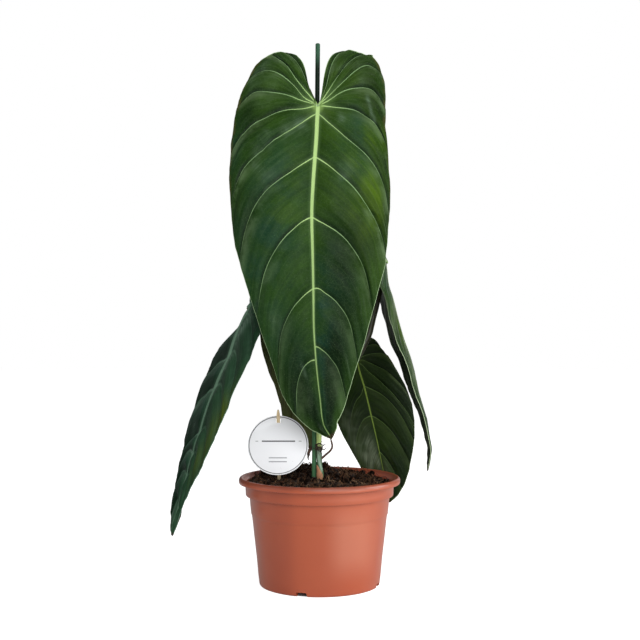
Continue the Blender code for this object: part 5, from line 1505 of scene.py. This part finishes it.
def soil_height(x, y):
    h = 0.1192
    for row in HUMPS:
        h += hump(x, y, *row)
    h += 0.0011 * math.sin(x * 310 + 1.3) * math.sin(y * 270 + 0.4)
    h += 0.0008 * math.sin(x * 560 + y * 330 + 2.0) + 0.0006 * math.sin(y * 640 - x * 410)
    edge = max(0.0, (math.hypot(x, y) - 0.070) / 0.016)
    return h - 0.0016 * min(edge, 1.0) ** 2


def rough_height(x, y):
    spot = Vector((x, y, 0.0))
    h = soil_height(x, y)
    free = min(1.0, max(0.0, (SOIL_EDGE - math.hypot(x, y)) / 0.004))
    for n, (high, fine, shift) in enumerate(LUMPS):
        # the two broad layers fade out at the wall
        h += (free if n < 2 else 1.0) * high * noise.noise(spot * fine + Vector(shift))
    for row in HOLLOWS:
        h += hump(x, y, *row)
    return h


def circle_points(radius, steps, shift):
    for j in range(steps):
        a = FULL_TURN * (j + shift) / steps
        yield radius * math.cos(a), radius * math.sin(a)


def make_soil():
    steps = 300
    rings = 84
    radius = 0.0849
    verts = [(0.0, 0.0, rough_height(0.0, 0.0))]
    for k in range(1, rings + 1):
        circle = circle_points(radius * k / rings, steps, 0.5 * (k % 2))
        verts += [(x, y, rough_height(x, y)) for x, y in circle]
    side = [(0.0851, 0.1085), (0.0804, 0.1056), (0.0786, 0.0840), (0.0775, 0.0801), (0.07485, 0.0567),
            (0.07215, 0.0336), (0.0697, 0.0099), (0.0688, 0.0060), (0.0670, 0.0049), (0.0404, 0.0049),
            (0.0384, 0.0023)]
    for r, z in side:
        verts += [(x, y, z) for x, y in circle_points(r, steps, 0.5 * (rings % 2))]
    verts.append((0.0, 0.0, 0.0023))
    faces = [(0, 1 + j, 1 + (j + 1) % steps) for j in range(steps)]
    total = rings + len(side)
    for k in range(total - 1):
        o = 1 + k * steps
        p = 1 + (k + 1) * steps
        for j in range(steps):
            q = (j + 1) % steps
            if k >= rings - 1:
                faces.append((o + j, p + j, p + q, o + q))
            elif k % 2 == 0:
                faces += [(o + j, p + j, o + q), (o + q, p + j, p + q)]
            else:
                faces += [(o + j, p + j, p + q), (o + j, p + q, o + q)]
    last = 1 + (total - 1) * steps
    end = len(verts) - 1
    faces += [(last + j, end, last + (j + 1) % steps) for j in range(steps)]
    ob = to_object("peat_body", verts, faces, [peat])
    close_up(ob)
    return belongs(ob, "soil", "soil")


def pebble(detail):
    """Corner points and faces of one small rounded lump, made once and copied."""
    ob = started("pebble", bpy.ops.mesh.primitive_ico_sphere_add, subdivisions=detail, radius=1.0)
    verts = np.array([v.co[:] for v in ob.data.vertices])
    faces = [tuple(p.vertices) for p in ob.data.polygons]
    bpy.data.objects.remove(ob, do_unlink=True)
    return verts, faces


def random_turn(rnd):
    q, r = np.linalg.qr(rnd.normal(size=(3, 3)))
    if np.linalg.det(q) < 0:
        q[:, 0] = -q[:, 0]
    return q


def random_spot(rnd, reach, area):
    """A place anywhere on the peat, or round the middle of an area (x, y, wide, deep)."""
    r = reach * math.sqrt(rnd.uniform(0, 1))
    a = rnd.uniform(0, FULL_TURN)
    x, y = r * math.cos(a), r * math.sin(a)
    if area:
        x, y = rnd.normal(area[0], area[2]), rnd.normal(area[1], area[3])
        r = math.hypot(x, y)
    return x, y, r


def scatter(name, count, detail, sizes, squash, sink, seed, mat, clump=0.0, area=None):
    """Many small rough lumps on the peat."""
    verts, faces = pebble(detail)
    rnd = np.random.default_rng(seed)
    all_v, all_f = [], []
    while len(all_v) < count:
        x, y, r = random_spot(rnd, 0.0825, area)
        if clump and noise.noise(Vector((x * 60, y * 60, seed))) < clump * rnd.uniform(-1, 1):
            continue
        size = sizes[0] + (sizes[1] - sizes[0]) * rnd.uniform(0, 1) ** 2.4
        if r + size > SOIL_EDGE:
            continue
        shape = rnd.uniform(squash, 1.0, 3)
        bumps = 1 + 0.30 * rnd.uniform(-1, 1, len(verts))
        pts = (verts * bumps[:, None] * shape * size) @ random_turn(rnd).T
        z = rough_height(x, y) + size * rnd.uniform(-sink, sink * 0.4 + 0.25)
        all_f += [tuple(i + len(verts) * len(all_v) for i in f) for f in faces]
        all_v.append(pts + np.array([x, y, z]))
    return belongs(to_object(name, np.vstack(all_v), all_f, [mat], smooth=False), "soil")


def fibres(name, count, seed, mat, shortest, longest, thick, area=None):
    """Thin curved strands that lie on the peat, four-sided and closed at both ends."""
    segs = 6
    reach = 0.0835
    rnd = np.random.default_rng(seed)
    verts, faces = [], []
    for n in range(count):
        px, py, _ = random_spot(rnd, 0.081, area)
        heading = rnd.uniform(0, FULL_TURN)
        length = rnd.uniform(shortest, longest)
        turn = rnd.uniform(-1, 1) * 2.0
        lift = rnd.uniform(0.0, 0.35) * length
        width = thick * rnd.uniform(0.6, 1.3)
        base = len(verts)
        for k in range(segs + 1):
            t = k / segs
            h = heading + turn * t
            if k:
                px += math.cos(h) * length / segs
                py += math.sin(h) * length / segs
            if math.hypot(px, py) > reach:
                s = reach / math.hypot(px, py)
                px, py = px * s, py * s
            z = rough_height(px, py) + width * 0.6 + lift * math.sin(math.pi * t) ** 2
            w = width * (0.35 + 0.65 * math.sin(math.pi * min(max(t, 0.06), 0.94)))
            for c, s in ((1, 0), (0, 1), (-1, 0), (0, -1)):
                verts.append((px - math.sin(h) * w * c, py + math.cos(h) * w * c, z + w * s))
        for k in range(segs):
            o = base + 4 * k
            for j in range(4):
                q = (j + 1) % 4
                faces.append((o + j, o + 4 + j, o + 4 + q, o + q))
        o = base + 4 * segs
        faces += [(base, base + 1, base + 2, base + 3), (o + 3, o + 2, o + 1, o)]
    ob = to_object(name, verts, faces, [mat])
    close_up(ob, 0.0000001)
    return belongs(ob, "soil")


make_soil()
scatter("peat_crumbs", 2400, 1, (0.0005, 0.0019), 0.5, 0.5, 31, peat_lumps)
scatter("peat_clods", 380, 2, (0.0018, 0.0056), 0.5, 0.40, 32, peat_lumps, 0.4)
scatter("bark_bits", 150, 1, (0.0009, 0.0030), 0.25, 0.2, 33, bark)
fibres("peat_fibres", 620, 34, bark, 0.005, 0.022, 0.00034)
fibres("dark_fibres", 620, 35, dead_fibre, 0.005, 0.020, 0.00034)
fibres("straw_by_stake", 60, 36, straw, 0.005, 0.013, 0.00046, (0.002, -0.020, 0.009, 0.006))
fibres("straw_fibres", 150, 40, straw, 0.004, 0.014, 0.00030)
fibres("straw_behind", 34, 37, straw, 0.004, 0.010, 0.00026, (0.030, 0.045, 0.012, 0.012))
scatter("chips_right", 34, 1, (0.0014, 0.0036), 0.3, 0.1, 38, straw, 0.0, (0.045, -0.004, 0.006, 0.007))
scatter("chips_left", 14, 1, (0.0008, 0.0020), 0.3, 0.1, 39, straw, 0.0, (-0.060, 0.000, 0.010, 0.012))


# Floor, backdrop and lights

def seen_brightness(draw, lit, seen):
    """One strength for the light that falls on the plant, another for the camera."""
    return draw.amount("LightPath", {}, "Is Camera Ray").step(0.0, 1.0, lit, seen)


def studio():
    mat, draw = new_material("studio_white")
    beneath = draw.amount("VectorMath", {0: draw.place}, "Value", operation="LENGTH")
    shine = seen_brightness(draw, 0.10, 0.87) * beneath.step(0.0664, 0.0668)
    sockets = draw.tree.nodes["Principled BSDF"].inputs
    for key, value in {"Base Color": (0.60, 0.60, 0.60), "Roughness": 0.9, "Specular IOR Level": 0.0,
                       "Emission Color": (1.0, 1.0, 1.0), "Emission Strength": shine}.items():
        fill(draw.tree, sockets[key], value)
    floor = started("studio_floor", bpy.ops.mesh.primitive_circle_add, vertices=96, radius=6.0,
                    fill_type="NGON")
    floor.data.materials.append(mat)
    world = bpy.data.worlds.new("studio_air")
    world.use_nodes = True
    sockets = world.node_tree.nodes["Background"].inputs
    fill(world.node_tree, sockets["Color"], (1.0, 1.0, 1.0))
    fill(world.node_tree, sockets["Strength"], seen_brightness(Drawing(world.node_tree), 0.23, 1.0))
    bpy.context.scene.world = world


def area_light(name, place, target, size, power):
    data = bpy.data.lights.new(name, "AREA")
    data.shape = "DISK"
    data.size = size
    data.energy = power
    ob = bpy.data.objects.new(name, data)
    bpy.context.scene.collection.objects.link(ob)
    ob.location = place
    ob.rotation_euler = (Vector(target) - Vector(place)).to_track_quat("-Z", "Y").to_euler()


studio()
area_light("key", (0.40, -1.80, 0.92), (0.0, 0.0, 0.28), 1.8, 34.0)
area_light("side", (1.75, -0.05, 0.55), (0.0, 0.0, 0.25), 1.1, 22.0)
area_light("back", (0.35, 1.90, 0.45), (0.0, 0.0, 0.30), 1.4, 5.0)
area_light("top", (0.25, -0.20, 1.75), (0.0, 0.0, 0.35), 0.9, 4.0)
area_light("fill", (-1.8, -0.6, 0.6), (0.0, 0.0, 0.3), 1.4, 5.0)
area_light("low", (0.62, -0.55, 0.06), (0.0, 0.0, 0.06), 0.3, 1.0)
studio_camera()
bpy.context.scene.view_settings.view_transform = "Standard"
